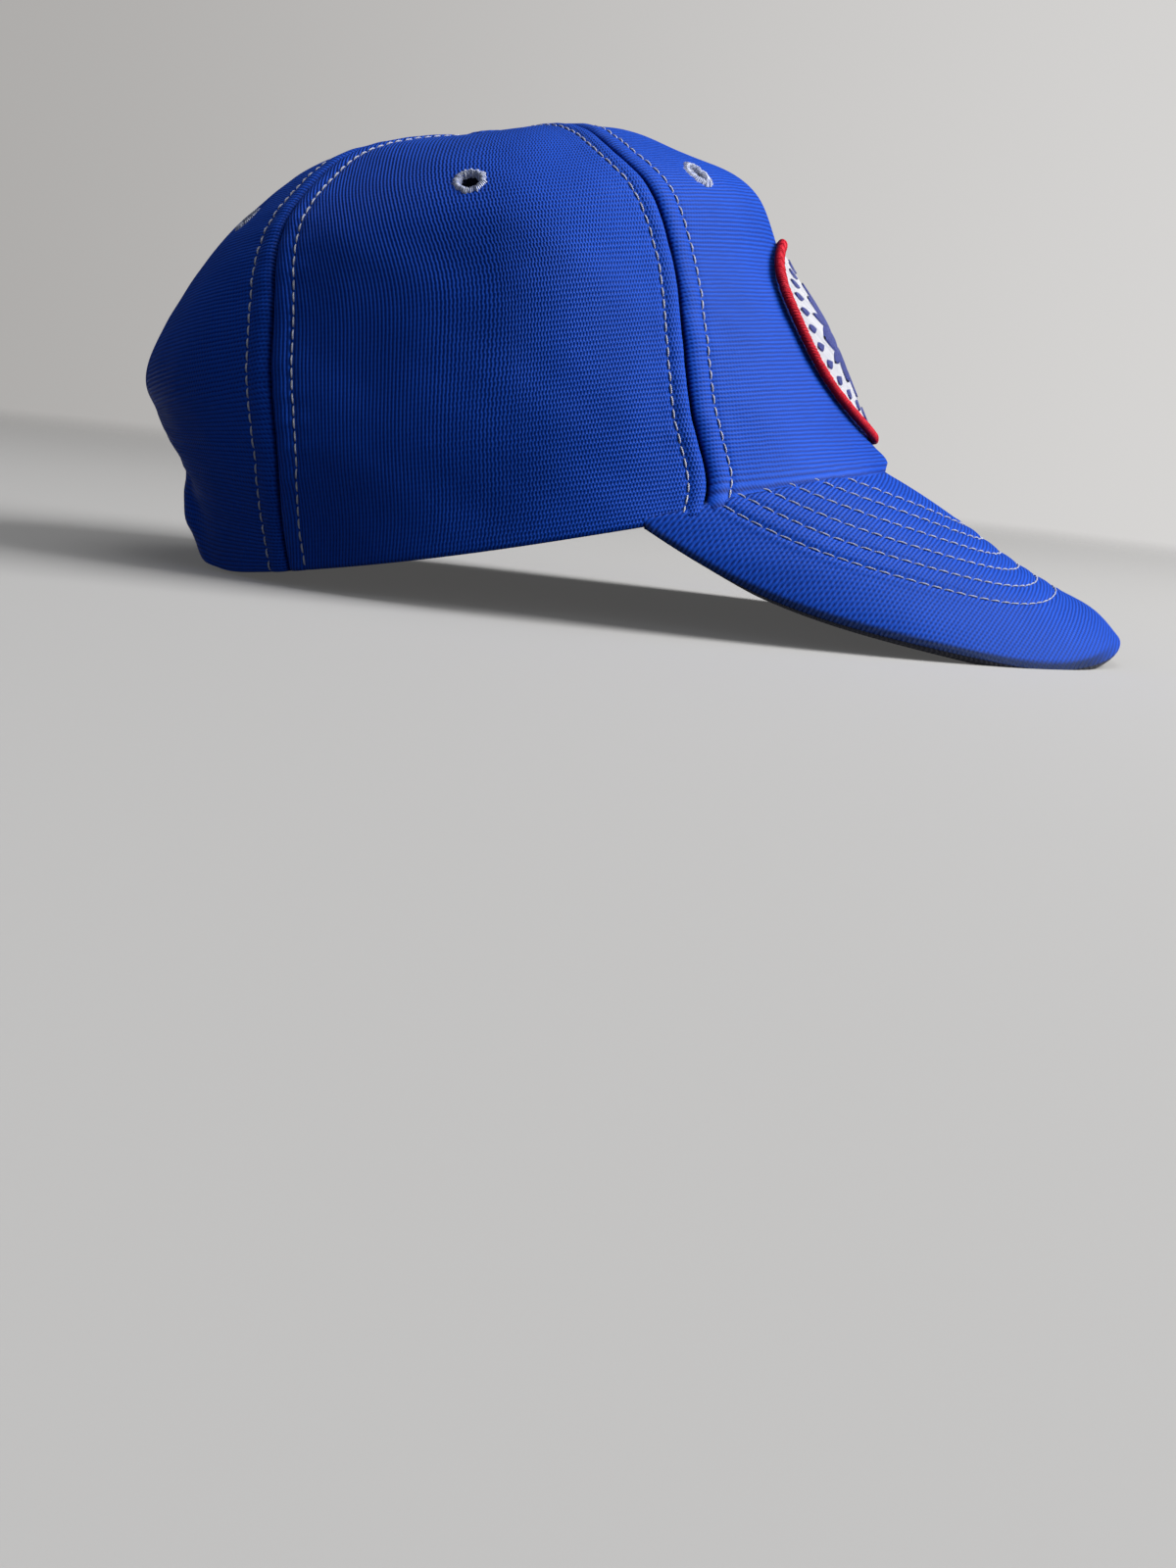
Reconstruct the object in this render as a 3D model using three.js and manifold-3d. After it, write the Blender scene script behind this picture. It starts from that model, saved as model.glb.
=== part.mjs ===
// A trucker cap: a five-panel knit crown with a half-moon opening and strap at the back,
// a bowed peak, a button on top and a round badge on the front.
//
// Millimetres. The crown is drawn standing on its rim, +X to the front, +Y to the wearer's left, +Z up.
// The whole cap is then tipped back until the back of its rim and the two sides of its peak lie on Z = 0.
// A place on the crown is an angle round it, 0 at the front and 90 on the left, and a share of the way
// up from the rim to the top.

import * as THREE from 'three';
import { mergeVertices } from 'three/addons/utils/BufferGeometryUtils.js';
import Module from 'manifold-3d';

// Cloth
const WALL = 2.2;
const GAP = 0.35;

// Crown sections from the rim up: how far each reaches to the front, side and back, how high it lies
// there, how much narrower its front is than an ellipse, how square its back is (2 is an ellipse),
// and the angle of the two seams on it
const SECTION_COLUMNS = [
  'frontReach', 'frontHigh', 'sideReach', 'sideHigh', 'backReach', 'backHigh',
  'frontNarrow', 'backSquare', 'frontSeam', 'rearSeam',
];
const SECTION_ROWS = [
  [103.5, 0, 82, 0, 107, 0, 0, 2, 64.5, 128],
  [102, 4.5, 81, 10.5, 107.5, 15, 0.19, 2.1, 62.5, 127],
  [96, 24, 80.5, 28, 107, 32, 0.29, 2.3, 62, 125],
  [89.5, 45, 78, 47, 109.5, 51, 0.32, 2.3, 59.5, 123.5],
  [80, 65, 74.5, 66.5, 100, 68.5, 0.33, 2.3, 55.5, 125],
  [74.5, 84.5, 69.5, 83, 84.5, 85, 0.28, 2.3, 56, 129.5],
  [59, 97, 59, 94.5, 69.5, 96.5, 0.2, 2.2, 55.5, 133],
  [41, 105.5, 41, 104, 51.5, 107.5, 0.1, 2.1, 51.5, 135.5],
  [20.5, 108, 21, 108.5, 25.5, 111, 0, 2, 47, 138.5],
  [0, 109, 0, 109, 0, 109, 0, 2, 43.5, 141],
];
const RIM_DIP = 2.7;
const RIM_DIP_FADE = 3;
const PANEL_TOP = 0.965;
const PANEL_ROWS = 16;
const PANEL_COLUMN = 11;

// Shallow hollows of the soft crown: where, how wide and how deep
const HOLLOWS = [
  { angle: 14, share: 0.7, wide: 13, deep: 1.4 },
  { angle: -14, share: 0.7, wide: 13, deep: 1.4 },
  { angle: 112, share: 0.36, wide: 26, deep: 1.6 },
  { angle: -112, share: 0.36, wide: 26, deep: 1.6 },
];

// Seams: cloth turned under on both sides of an open groove stands up as a band
const SEAM_BAND = [
  { from: 0, lift: -0.6 },
  { from: 1.2, lift: 0.6 },
  { from: 5.5, lift: 0.6 },
  { from: 7.5, lift: 0 },
];
const SEAM_BAND_SHARE = 0.3;

// Half-moon opening at the back and the strap across it
const ARCH_HALF_WIDTH = 38;
const ARCH_HIGH = 43;
const ARCH_SQUARENESS = 2.4;
const ARCH_POINTS = 28;
const STRAP_HALF_ANGLE = 32;
const STRAP_FROM = 0.035;
const STRAP_TO = 0.17;
const STRAP_THICK = 1.6;
const STRAP_PULL = 9;

// Eyelets, mirrored left and right
const EYELETS = [
  { panel: 'front_panel', angle: 37, share: 0.594 },
  { panel: 'side_panel', angle: 93.5, share: 0.622 },
  { panel: 'back_panel', angle: 153, share: 0.63 },
];
const EYELET_HOLE = 2.7;
const EYELET_SIDES = 12;

// Peak: a sheet bent about one direction, along its slope
const PEAK_CORNER = 74;
const PEAK_SLOPE = 41;
const PEAK_REACH = 64;
const PEAK_SQUARENESS = 2.2;
const PEAK_END = 1.2;
const PEAK_THICK = 3.6;
const PEAK_SEAM_GAP = 0.6;
const PEAK_CROWNING = 2.6;
const PEAK_DROOP = 4.5;
const PEAK_EDGE_ROLL = 1.4;
const PEAK_COLUMNS = 40;
const PEAK_COLUMN_CROWDING = 1.9;
const PEAK_ROWS = 7;

// Badge
const BADGE_SHARE = 0.312;
const BADGE_RADIUS = 33;
const BADGE_BORDER = 3.4;
const BADGE_LIFT = 0.5;
const BADGE_THICK = 1;
const BADGE_BORDER_THICK = 1.8;
const BADGE_SIDES = 48;

// Button
const BUTTON_RADIUS = 8;
const BUTTON_HIGH = 2;
const BUTTON_SHANK = 4.6;
const BUTTON_LIFT = 0.8;
const BUTTON_SIDES = 24;

// Rest pose
const REST_TILT = 13.6;
const REST_HEIGHT = 22;
const REST_SHIFT = -29.2;
const CUT_SIZE = 500;

const ROYAL_BLUE = 0x1a49b0;
const knit = new THREE.MeshStandardMaterial({ color: ROYAL_BLUE, roughness: 0.7, metalness: 0 });
const twill = new THREE.MeshStandardMaterial({ color: 0xe9e9ee, roughness: 0.8, metalness: 0 });
const redThread = new THREE.MeshStandardMaterial({ color: 0xc41f33, roughness: 0.6, metalness: 0 });
const bluePlastic = new THREE.MeshStandardMaterial({ color: 0x173f9c, roughness: 0.4, metalness: 0 });

const wasm = await Module();
wasm.setup();

const radians = THREE.MathUtils.degToRad;

// Smooth curve through the section table, one value per column
function sectionAt(share) {
  const last = SECTION_ROWS.length - 1;
  const place = THREE.MathUtils.clamp(share, 0, 1) * last;
  const index = Math.min(Math.floor(place), last - 1);
  const t = place - index;
  const section = {};
  SECTION_COLUMNS.forEach((column, k) => {
    const here = SECTION_ROWS[index][k];
    const next = SECTION_ROWS[index + 1][k];
    const before = index > 0 ? SECTION_ROWS[index - 1][k] : 2 * here - next;
    const after = index + 2 <= last ? SECTION_ROWS[index + 2][k] : 2 * next - here;
    const bend = 2 * before - 5 * here + 4 * next - after;
    const twist = 3 * here - before - 3 * next + after;
    section[column] = 0.5 * (2 * here + (next - before) * t + bend * t * t + twist * t ** 3);
  });
  return section;
}

function basePoint(angle, share) {
  const section = sectionAt(share);
  const along = Math.cos(radians(angle));
  const across = Math.sin(radians(angle));
  const reach = along > 0 ? section.frontReach : section.backReach;
  const endHigh = along > 0 ? section.frontHigh : section.backHigh;
  const square = section.backSquare;
  const swell = along > 0 ? 1 : (Math.abs(along) ** square + Math.abs(across) ** square) ** (-1 / square);
  const narrow = along > 0 ? 1 - section.frontNarrow * along ** 2 : 1;
  const dip = RIM_DIP * across ** 2 * (1 - along) * (1 - share) ** RIM_DIP_FADE;
  const high = section.sideHigh + (endHigh - section.sideHigh) * along ** 2 - dip;
  return new THREE.Vector3(reach * along * swell, section.sideReach * across * swell * narrow, high);
}

function baseNormal(angle, share) {
  const turn = 0.5;
  const rise = 0.004;
  const round = basePoint(angle + turn, share).sub(basePoint(angle - turn, share));
  const low = Math.max(0, share - rise);
  const up = basePoint(angle, low + 2 * rise).sub(basePoint(angle, low));
  return round.cross(up).normalize();
}

// A point of the crown's cloth, lifted off its outer face
function crownPoint(angle, share, lift = 0) {
  const point = basePoint(angle, share);
  let depth = 0;
  for (const hollow of HOLLOWS) {
    const away = point.distanceTo(basePoint(hollow.angle, hollow.share)) / hollow.wide;
    depth += hollow.deep * Math.exp(-(away ** 2));
  }
  return point.addScaledVector(baseNormal(angle, share), lift - depth);
}

function millimetresPerDegree(angle, share) {
  return basePoint(angle + 0.5, share).distanceTo(basePoint(angle - 0.5, share));
}

// Closed sheet between two grids of points that have the same rows and columns, face grid first
function closedSheet(face, back) {
  const rows = face.length - 1;
  const columns = face[0].length - 1;
  const positions = [];
  for (const point of [...face.flat(), ...back.flat()]) {
    positions.push(point.x, point.y, point.z);
  }
  const backStart = (rows + 1) * (columns + 1);
  const at = (row, column) => row * (columns + 1) + column;
  const triangles = [];
  const quad = (a, b, c, d) => triangles.push(a, b, c, a, c, d);
  for (let i = 0; i < rows; i++) {
    for (let j = 0; j < columns; j++) {
      const corners = [at(i, j), at(i, j + 1), at(i + 1, j + 1), at(i + 1, j)];
      const [a, b, c, d] = corners.map((corner) => corner + backStart);
      quad(...corners);
      quad(a, d, c, b);
    }
  }
  const wall = (a, b) => quad(b, a, a + backStart, b + backStart);
  for (let j = 0; j < columns; j++) {
    wall(at(0, j), at(0, j + 1));
    wall(at(rows, j + 1), at(rows, j));
  }
  for (let i = 0; i < rows; i++) {
    wall(at(i + 1, 0), at(i, 0));
    wall(at(i, columns), at(i + 1, columns));
  }
  const geometry = new THREE.BufferGeometry();
  geometry.setAttribute('position', new THREE.Float32BufferAttribute(positions, 3));
  geometry.setIndex(triangles);
  return geometry;
}

function toSolid(geometry) {
  const bare = geometry.clone();
  bare.deleteAttribute('normal');
  bare.deleteAttribute('uv');
  const merged = mergeVertices(bare, 1e-4);
  const vertProperties = new Float32Array(merged.attributes.position.array);
  const triVerts = new Uint32Array(merged.index.array);
  return new wasm.Manifold(new wasm.Mesh({ numProp: 3, vertProperties, triVerts }));
}

function toGeometry(solid) {
  const mesh = solid.getMesh();
  const geometry = new THREE.BufferGeometry();
  geometry.setAttribute('position', new THREE.Float32BufferAttribute(mesh.vertProperties, 3));
  geometry.setIndex([...mesh.triVerts]);
  geometry.computeVertexNormals();
  return geometry;
}

const restPose = new THREE.Matrix4()
  .makeRotationY(-radians(REST_TILT))
  .setPosition(REST_SHIFT, 0, REST_HEIGHT);

// The surface that the cap rests on, as a block in the crown's own frame
function floorBlock() {
  const block = new THREE.BoxGeometry(CUT_SIZE, CUT_SIZE, CUT_SIZE);
  block.translate(0, 0, -CUT_SIZE / 2);
  block.applyMatrix4(restPose.clone().invert());
  return toSolid(block);
}

const floorCut = floorBlock();

function makePiece(name, geometry, material, cutters = []) {
  let solid = toSolid(geometry);
  for (const cutter of cutters) {
    solid = solid.subtract(cutter);
  }
  const mesh = new THREE.Mesh(toGeometry(solid.subtract(floorCut)), material);
  mesh.name = name;
  return mesh;
}

// Columns of a panel, in millimetres from its first edge: the seam band, the middle, the other band
function panelColumns(width, middleColumns) {
  const bandWidth = SEAM_BAND[SEAM_BAND.length - 1].from;
  const squeeze = Math.min(1, (SEAM_BAND_SHARE * width) / bandWidth);
  const first = SEAM_BAND.map((step) => ({ place: step.from * squeeze, lift: step.lift * squeeze }));
  const last = first.map((step) => ({ place: width - step.place, lift: step.lift })).reverse();
  const start = bandWidth * squeeze;
  const middle = [];
  for (let k = 1; k < middleColumns; k++) {
    middle.push({ place: start + ((width - 2 * start) * k) / middleColumns, lift: 0 });
  }
  return [...first, ...middle, ...last];
}

// One cloth panel between two edges, each given as an angle at every share of the height
function panelGeometry(edgeFrom, edgeTo) {
  const rimWidth = (edgeTo(0) - edgeFrom(0)) * millimetresPerDegree((edgeFrom(0) + edgeTo(0)) / 2, 0);
  const middleColumns = Math.round(rimWidth / PANEL_COLUMN);
  const outer = [];
  const inner = [];
  for (let i = 0; i <= PANEL_ROWS; i++) {
    const share = (PANEL_TOP * i) / PANEL_ROWS;
    const from = edgeFrom(share) + GAP / 2 / millimetresPerDegree(edgeFrom(share), share);
    const to = edgeTo(share) - GAP / 2 / millimetresPerDegree(edgeTo(share), share);
    const width = (to - from) * millimetresPerDegree((from + to) / 2, share);
    const columns = panelColumns(width, middleColumns);
    const angles = columns.map((column) => from + ((to - from) * column.place) / width);
    outer.push(columns.map((column, j) => crownPoint(angles[j], share, column.lift)));
    inner.push(angles.map((angle) => crownPoint(angle, share, -WALL)));
  }
  return closedSheet(outer, inner);
}

function eyeletCutter(angle, share) {
  const hole = new THREE.CylinderGeometry(EYELET_HOLE, EYELET_HOLE, 6 * WALL, EYELET_SIDES);
  const up = new THREE.Vector3(0, 1, 0);
  hole.applyQuaternion(new THREE.Quaternion().setFromUnitVectors(up, baseNormal(angle, share)));
  const middle = crownPoint(angle, share);
  hole.translate(middle.x, middle.y, middle.z);
  return toSolid(hole);
}

// Rounded half-moon, cut straight through the back of the crown
function archCutter() {
  const outline = new THREE.Shape();
  const power = 2 / ARCH_SQUARENESS;
  outline.moveTo(-ARCH_HALF_WIDTH, -ARCH_HIGH / 2);
  for (let k = 0; k <= ARCH_POINTS; k++) {
    const turn = Math.PI * (1 - k / ARCH_POINTS);
    const across = Math.sign(Math.cos(turn)) * Math.abs(Math.cos(turn)) ** power;
    outline.lineTo(ARCH_HALF_WIDTH * across, ARCH_HIGH * Math.abs(Math.sin(turn)) ** power);
  }
  outline.lineTo(ARCH_HALF_WIDTH, -ARCH_HIGH / 2);
  const depth = sectionAt(0).backReach;
  const block = new THREE.ExtrudeGeometry(outline, { depth, bevelEnabled: false });
  block.applyMatrix4(new THREE.Matrix4().makeBasis(
    new THREE.Vector3(0, -1, 0), new THREE.Vector3(0, 0, 1), new THREE.Vector3(-1, 0, 0)));
  block.translate(-depth / 2, 0, 0);
  return toSolid(block);
}

function crownPanels() {
  const frontSeam = (share) => sectionAt(share).frontSeam;
  const rearSeam = (share) => sectionAt(share).rearSeam;
  const mirrored = (seam) => (share) => -seam(share);
  const arch = archCutter();
  const layout = [
    { name: 'front_panel', from: mirrored(frontSeam), to: frontSeam, sides: [1, -1], cuts: [] },
    { name: 'side_panel_left', from: frontSeam, to: rearSeam, sides: [1], cuts: [] },
    { name: 'side_panel_right', from: mirrored(rearSeam), to: mirrored(frontSeam), sides: [-1], cuts: [] },
    { name: 'back_panel_left', from: rearSeam, to: () => 180, sides: [1], cuts: [arch] },
    { name: 'back_panel_right', from: () => -180, to: mirrored(rearSeam), sides: [-1], cuts: [arch] },
  ];
  return layout.map((panel) => {
    const eyelet = EYELETS.find((candidate) => panel.name.startsWith(candidate.panel));
    const holes = panel.sides.map((side) => eyeletCutter(side * eyelet.angle, eyelet.share));
    return makePiece(panel.name, panelGeometry(panel.from, panel.to), knit, [...panel.cuts, ...holes]);
  });
}

// The peak's top face: across from corner to corner (-1 to 1), out from the seam to the edge (0 to 1)
function peakPoint(across, out) {
  const corner = basePoint(PEAK_CORNER, 0);
  const seam = basePoint(across * PEAK_CORNER, 0);
  const slope = radians(PEAK_SLOPE);
  const side = Math.min(1, Math.abs(seam.y) / corner.y);
  const roundness = (1 - side ** PEAK_SQUARENESS) ** (1 / PEAK_SQUARENESS);
  const edgeReach = corner.x + (sectionAt(0).frontReach + PEAK_REACH - corner.x) * roundness;
  const length = PEAK_END + (edgeReach - seam.x) / Math.cos(slope);
  const run = PEAK_SEAM_GAP + (length - PEAK_SEAM_GAP) * out;
  const droop = PEAK_DROOP * out ** 2 * Math.sin(Math.PI * Math.abs(across)) ** 3;
  const rise = PEAK_CROWNING * 4 * out * (1 - out) * Math.min(1, length / PEAK_REACH) - droop;
  const downhill = new THREE.Vector3(Math.cos(slope), 0, -Math.sin(slope));
  const uphill = new THREE.Vector3(Math.sin(slope), 0, Math.cos(slope));
  return seam.addScaledVector(downhill, run).addScaledVector(uphill, rise);
}

function peakNormal(across, out) {
  const step = 0.01;
  const left = Math.min(1, across + step);
  const right = Math.max(-1, across - step);
  const near = Math.max(0, out - step);
  const round = peakPoint(left, near + step).sub(peakPoint(right, near + step));
  const outward = peakPoint(across, near + 2 * step).sub(peakPoint(across, near));
  return outward.cross(round).normalize();
}

// Columns run from the left corner to the right one and stand closer towards the corners
function peakColumn(index) {
  const even = 1 - (2 * index) / PEAK_COLUMNS;
  return Math.sign(even) * (1 - (1 - Math.abs(even)) ** PEAK_COLUMN_CROWDING);
}

function peak() {
  const top = [];
  const under = [];
  const edge = [];
  for (let i = 0; i <= PEAK_ROWS; i++) {
    const out = i / PEAK_ROWS;
    top.push([]);
    under.push([]);
    for (let j = 0; j <= PEAK_COLUMNS; j++) {
      const across = peakColumn(j);
      const normal = peakNormal(across, out);
      top[i].push(peakPoint(across, out));
      under[i].push(peakPoint(across, out).addScaledVector(normal, -PEAK_THICK));
    }
  }
  for (let j = 0; j <= PEAK_COLUMNS; j++) {
    const middle = top[PEAK_ROWS][j].clone().lerp(under[PEAK_ROWS][j], 0.5);
    const outward = top[PEAK_ROWS][j].clone().sub(top[PEAK_ROWS - 1][j]).normalize();
    edge.push(middle.addScaledVector(outward, PEAK_EDGE_ROLL));
  }
  return makePiece('peak', closedSheet([...top, edge], [...under, edge]), knit);
}

// The share of the crown's front at a distance up its middle from the badge's centre
function shareUpFront(distance) {
  const step = 0.002;
  const direction = Math.sign(distance);
  let share = BADGE_SHARE;
  let left = Math.abs(distance);
  while (left > 0) {
    const stride = basePoint(0, share + direction * step).distanceTo(basePoint(0, share));
    share += direction * step * Math.min(1, left / stride);
    left -= stride;
  }
  return share;
}

// The angle at a distance round the front from its middle, to the wearer's left
function angleRoundFront(distance, share) {
  const step = 0.5;
  const direction = Math.sign(distance);
  let angle = 0;
  let left = Math.abs(distance);
  while (left > 0) {
    const stride = basePoint(angle + direction * step, share).distanceTo(basePoint(angle, share));
    angle += direction * step * Math.min(1, left / stride);
    left -= stride;
  }
  return angle;
}

// Lays a flat round piece on the front: x to the wearer's left, y up the front, z off the cloth
function layOnFront(geometry) {
  const position = geometry.attributes.position;
  for (let k = 0; k < position.count; k++) {
    const share = shareUpFront(position.getY(k));
    const angle = angleRoundFront(position.getX(k), share);
    const point = crownPoint(angle, share, position.getZ(k));
    position.setXYZ(k, point.x, point.y, point.z);
  }
  return geometry;
}

function latheOnZ(profile, sides) {
  const points = profile.map(([radius, high]) => new THREE.Vector2(radius, high));
  return new THREE.LatheGeometry(points, sides).rotateX(Math.PI / 2);
}

function badge() {
  const field = BADGE_RADIUS - BADGE_BORDER - GAP;
  const rings = [0, 0.2, 0.4, 0.6, 0.8, 1];
  const face = rings.map((share) => [field * share, BADGE_LIFT + BADGE_THICK]);
  const back = rings.map((share) => [field * share, BADGE_LIFT]);
  const middle = BADGE_LIFT + BADGE_BORDER_THICK / 2;
  const bead = [];
  const beadSides = 8;
  for (let k = 0; k <= beadSides; k++) {
    const turn = (2 * Math.PI * k) / beadSides;
    const radius = BADGE_RADIUS - BADGE_BORDER / 2 + (BADGE_BORDER / 2) * Math.cos(turn);
    bead.push([radius, middle + (BADGE_BORDER_THICK / 2) * Math.sin(turn)]);
  }
  const patch = layOnFront(latheOnZ([...back, ...face.reverse()], BADGE_SIDES));
  const border = layOnFront(latheOnZ(bead, BADGE_SIDES));
  return [makePiece('patch', patch, twill), makePiece('patch_border', border, redThread)];
}

function button() {
  const shankLow = -2 * WALL;
  const shank = [[0, shankLow], [BUTTON_SHANK, shankLow], [BUTTON_SHANK, BUTTON_LIFT]];
  const dome = [...shank, [BUTTON_RADIUS, BUTTON_LIFT]];
  const steps = 5;
  for (let k = 1; k <= steps; k++) {
    const turn = (Math.PI / 2) * (k / steps);
    dome.push([BUTTON_RADIUS * Math.cos(turn), BUTTON_LIFT + BUTTON_HIGH * Math.sin(turn)]);
  }
  const geometry = latheOnZ(dome, BUTTON_SIDES);
  const lean = basePoint(180, PANEL_TOP).sub(basePoint(0, PANEL_TOP));
  geometry.rotateY(Math.atan2(lean.z, -lean.x));
  const top = basePoint(0, 1);
  geometry.translate(top.x, top.y, top.z);
  return makePiece('top_button', geometry, knit);
}

function strap() {
  const rows = 3;
  const columns = 18;
  const outer = [];
  const inner = [];
  for (let i = 0; i <= rows; i++) {
    const share = STRAP_FROM + ((STRAP_TO - STRAP_FROM) * i) / rows;
    outer.push([]);
    inner.push([]);
    for (let j = 0; j <= columns; j++) {
      const across = (2 * j) / columns - 1;
      const angle = 180 + STRAP_HALF_ANGLE * across;
      const lift = -WALL - GAP - STRAP_PULL * Math.cos((Math.PI / 2) * across) ** 2;
      outer[i].push(crownPoint(angle, share, lift));
      inner[i].push(crownPoint(angle, share, lift - STRAP_THICK));
    }
  }
  return makePiece('back_strap', closedSheet(outer, inner), bluePlastic);
}

const cap = new THREE.Group();
cap.add(...crownPanels(), peak(), ...badge(), button(), strap());
cap.applyMatrix4(restPose);

export default cap;
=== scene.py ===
"""Looks of a trucker cap: five knit panels, a quilted peak, a round badge, a button and a strap.

Shapes are worked out in millimetres in the crown's own frame, which stands on its rim with +X to the
front, +Y to the wearer's left and +Z up, and are then tipped into the row frame in metres. A place on
the crown is an angle round it, 0 at the front and 90 on the left, and a share of the way up.
"""

import logging
import math
from dataclasses import dataclass, field
from enum import Enum
from typing import NamedTuple, Sequence

import bmesh
import bpy
import numpy as np
from mathutils import Matrix, Vector


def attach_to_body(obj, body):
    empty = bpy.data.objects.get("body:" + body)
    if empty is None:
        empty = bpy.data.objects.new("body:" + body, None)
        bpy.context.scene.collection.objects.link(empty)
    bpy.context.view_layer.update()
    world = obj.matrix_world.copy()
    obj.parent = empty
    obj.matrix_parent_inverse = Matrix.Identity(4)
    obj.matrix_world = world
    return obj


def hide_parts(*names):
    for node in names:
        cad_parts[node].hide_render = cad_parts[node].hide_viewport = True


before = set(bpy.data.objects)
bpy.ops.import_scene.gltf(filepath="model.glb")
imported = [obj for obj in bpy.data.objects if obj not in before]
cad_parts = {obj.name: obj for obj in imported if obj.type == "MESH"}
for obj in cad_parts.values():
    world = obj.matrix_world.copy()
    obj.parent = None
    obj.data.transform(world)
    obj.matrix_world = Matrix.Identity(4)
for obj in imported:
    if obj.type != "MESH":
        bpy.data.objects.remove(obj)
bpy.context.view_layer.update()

LOG = logging.getLogger("trucker_cap")
MM = 0.001
CLOTH_COORDINATES = "cloth_mm"
BODY = "root"

Array = np.ndarray
Colour = tuple[float, float, float]

# Seeds of the small unevenness
FRONT_SEED = 11
SIDE_SEED = 30
PEAK_SEED = 61
TWILL_SEED = 71
BORDER_SEED = 81
CROWN_STITCH_SEED = 100
EYELET_SEED = 200
PEAK_STITCH_SEED = 300


class Slot(Enum):
    """Names of material slots."""

    KNIT = "knit_cloth"
    TWILL = "badge_twill"
    THREAD = "badge_thread"
    STRAP = "strap_plastic"


class Side(Enum):
    """Side of the cap that a piece lies on, as the sign of its Y."""

    LEFT = 1
    RIGHT = -1


class PanelKind(Enum):
    """Panels of one half of the crown."""

    FRONT = "front"
    SIDE = "side"
    BACK = "back"


# Small helpers


def smoothstep(low: float, high: float, value: Array) -> Array:
    """Eases from 0 at low to 1 at high."""
    t = np.clip((value - low) / (high - low), 0, 1)
    return t * t * (3 - 2 * t)


def bell(value: Array, centre: float, spread: float | Array) -> Array:
    """Gives a bell curve, 1 at its centre."""
    return np.exp(-(((value - centre) / spread) ** 2))


def unit(vectors: Array) -> Array:
    """Scales vectors to length one."""
    return vectors / np.maximum(np.linalg.norm(vectors, axis=-1, keepdims=True), 1e-9)


def path_lengths(points: Array) -> Array:
    """Measures along a line of points."""
    steps = np.linalg.norm(np.diff(points, axis=0), axis=1)
    return np.concatenate([[0.0], np.cumsum(steps)])


def sample_line(lengths: Array, values: Array, wanted: Array) -> Array:
    """Reads columns of values at given lengths along a line."""
    columns = [np.interp(wanted, lengths, values[:, k]) for k in range(values.shape[1])]
    return np.stack(columns, 1)


def srgb(red: int, green: int, blue: int) -> Colour:
    """Turns an 8-bit screen colour into linear light.

    Args:
        red: Red, 0 to 255.
        green: Green, 0 to 255.
        blue: Blue, 0 to 255.

    Returns:
        The linear colour.
    """
    shares = [c / 255 for c in (red, green, blue)]
    linear = [c / 12.92 if c <= 0.04045 else ((c + 0.055) / 1.055) ** 2.4 for c in shares]
    return (linear[0], linear[1], linear[2])


@dataclass(frozen=True)
class Waves:
    """Soft uneven waves of cloth, a sum of a few seeded sine waves."""

    seed: int
    length: float
    height: float
    count: int = 6

    def at(self, across: Array, up: Array) -> Array:
        """Gives the waves' height.

        Args:
            across: Millimetres across the cloth.
            up: Millimetres up the cloth.

        Returns:
            Height in millimetres, about plus or minus the named height.
        """
        draw = np.random.default_rng(self.seed)
        total = np.zeros(np.broadcast(across, up).shape)
        for _ in range(self.count):
            turn = draw.uniform(0, math.pi)
            phase = draw.uniform(0, 2 * math.pi)
            stretch = draw.uniform(0.7, 1.5)
            along = across * math.cos(turn) + up * math.sin(turn)
            total += np.sin(2 * math.pi * along / (self.length * stretch) + phase)
        return self.height * total / math.sqrt(self.count)


# Shapes that repeat the part's source


class Section(NamedTuple):
    """One level of the crown, from the rim up."""

    front_reach: float
    front_high: float
    side_reach: float
    side_high: float
    back_reach: float
    back_high: float
    front_narrow: float
    back_square: float
    front_seam: float
    rear_seam: float


SECTIONS = (
    Section(103.5, 0, 82, 0, 107, 0, 0, 2, 64.5, 128),
    Section(102, 4.5, 81, 10.5, 107.5, 15, 0.19, 2.1, 62.5, 127),
    Section(96, 24, 80.5, 28, 107, 32, 0.29, 2.3, 62, 125),
    Section(89.5, 45, 78, 47, 109.5, 51, 0.32, 2.3, 59.5, 123.5),
    Section(80, 65, 74.5, 66.5, 100, 68.5, 0.33, 2.3, 55.5, 125),
    Section(74.5, 84.5, 69.5, 83, 84.5, 85, 0.28, 2.3, 56, 129.5),
    Section(59, 97, 59, 94.5, 69.5, 96.5, 0.2, 2.2, 55.5, 133),
    Section(41, 105.5, 41, 104, 51.5, 107.5, 0.1, 2.1, 51.5, 135.5),
    Section(20.5, 108, 21, 108.5, 25.5, 111, 0, 2, 47, 138.5),
    Section(0, 109, 0, 109, 0, 109, 0, 2, 43.5, 141),
)


class Hollow(NamedTuple):
    """A shallow hollow of the soft crown."""

    angle: float
    share: float
    wide: float
    deep: float


HOLLOWS = (
    Hollow(14, 0.7, 13, 1.4),
    Hollow(-14, 0.7, 13, 1.4),
    Hollow(112, 0.36, 26, 1.6),
    Hollow(-112, 0.36, 26, 1.6),
)


class EyeletPlace(NamedTuple):
    """Where an eyelet sits on the left half of the crown, and how far its thread closes it."""

    panel: PanelKind
    angle: float
    share: float
    closed: float


EYELETS = (
    EyeletPlace(PanelKind.FRONT, 37, 0.594, 0.6),
    EyeletPlace(PanelKind.SIDE, 93.5, 0.622, 0.1),
    EyeletPlace(PanelKind.BACK, 153, 0.63, 0.1),
)
EYELET_LIFT = -0.35


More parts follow.
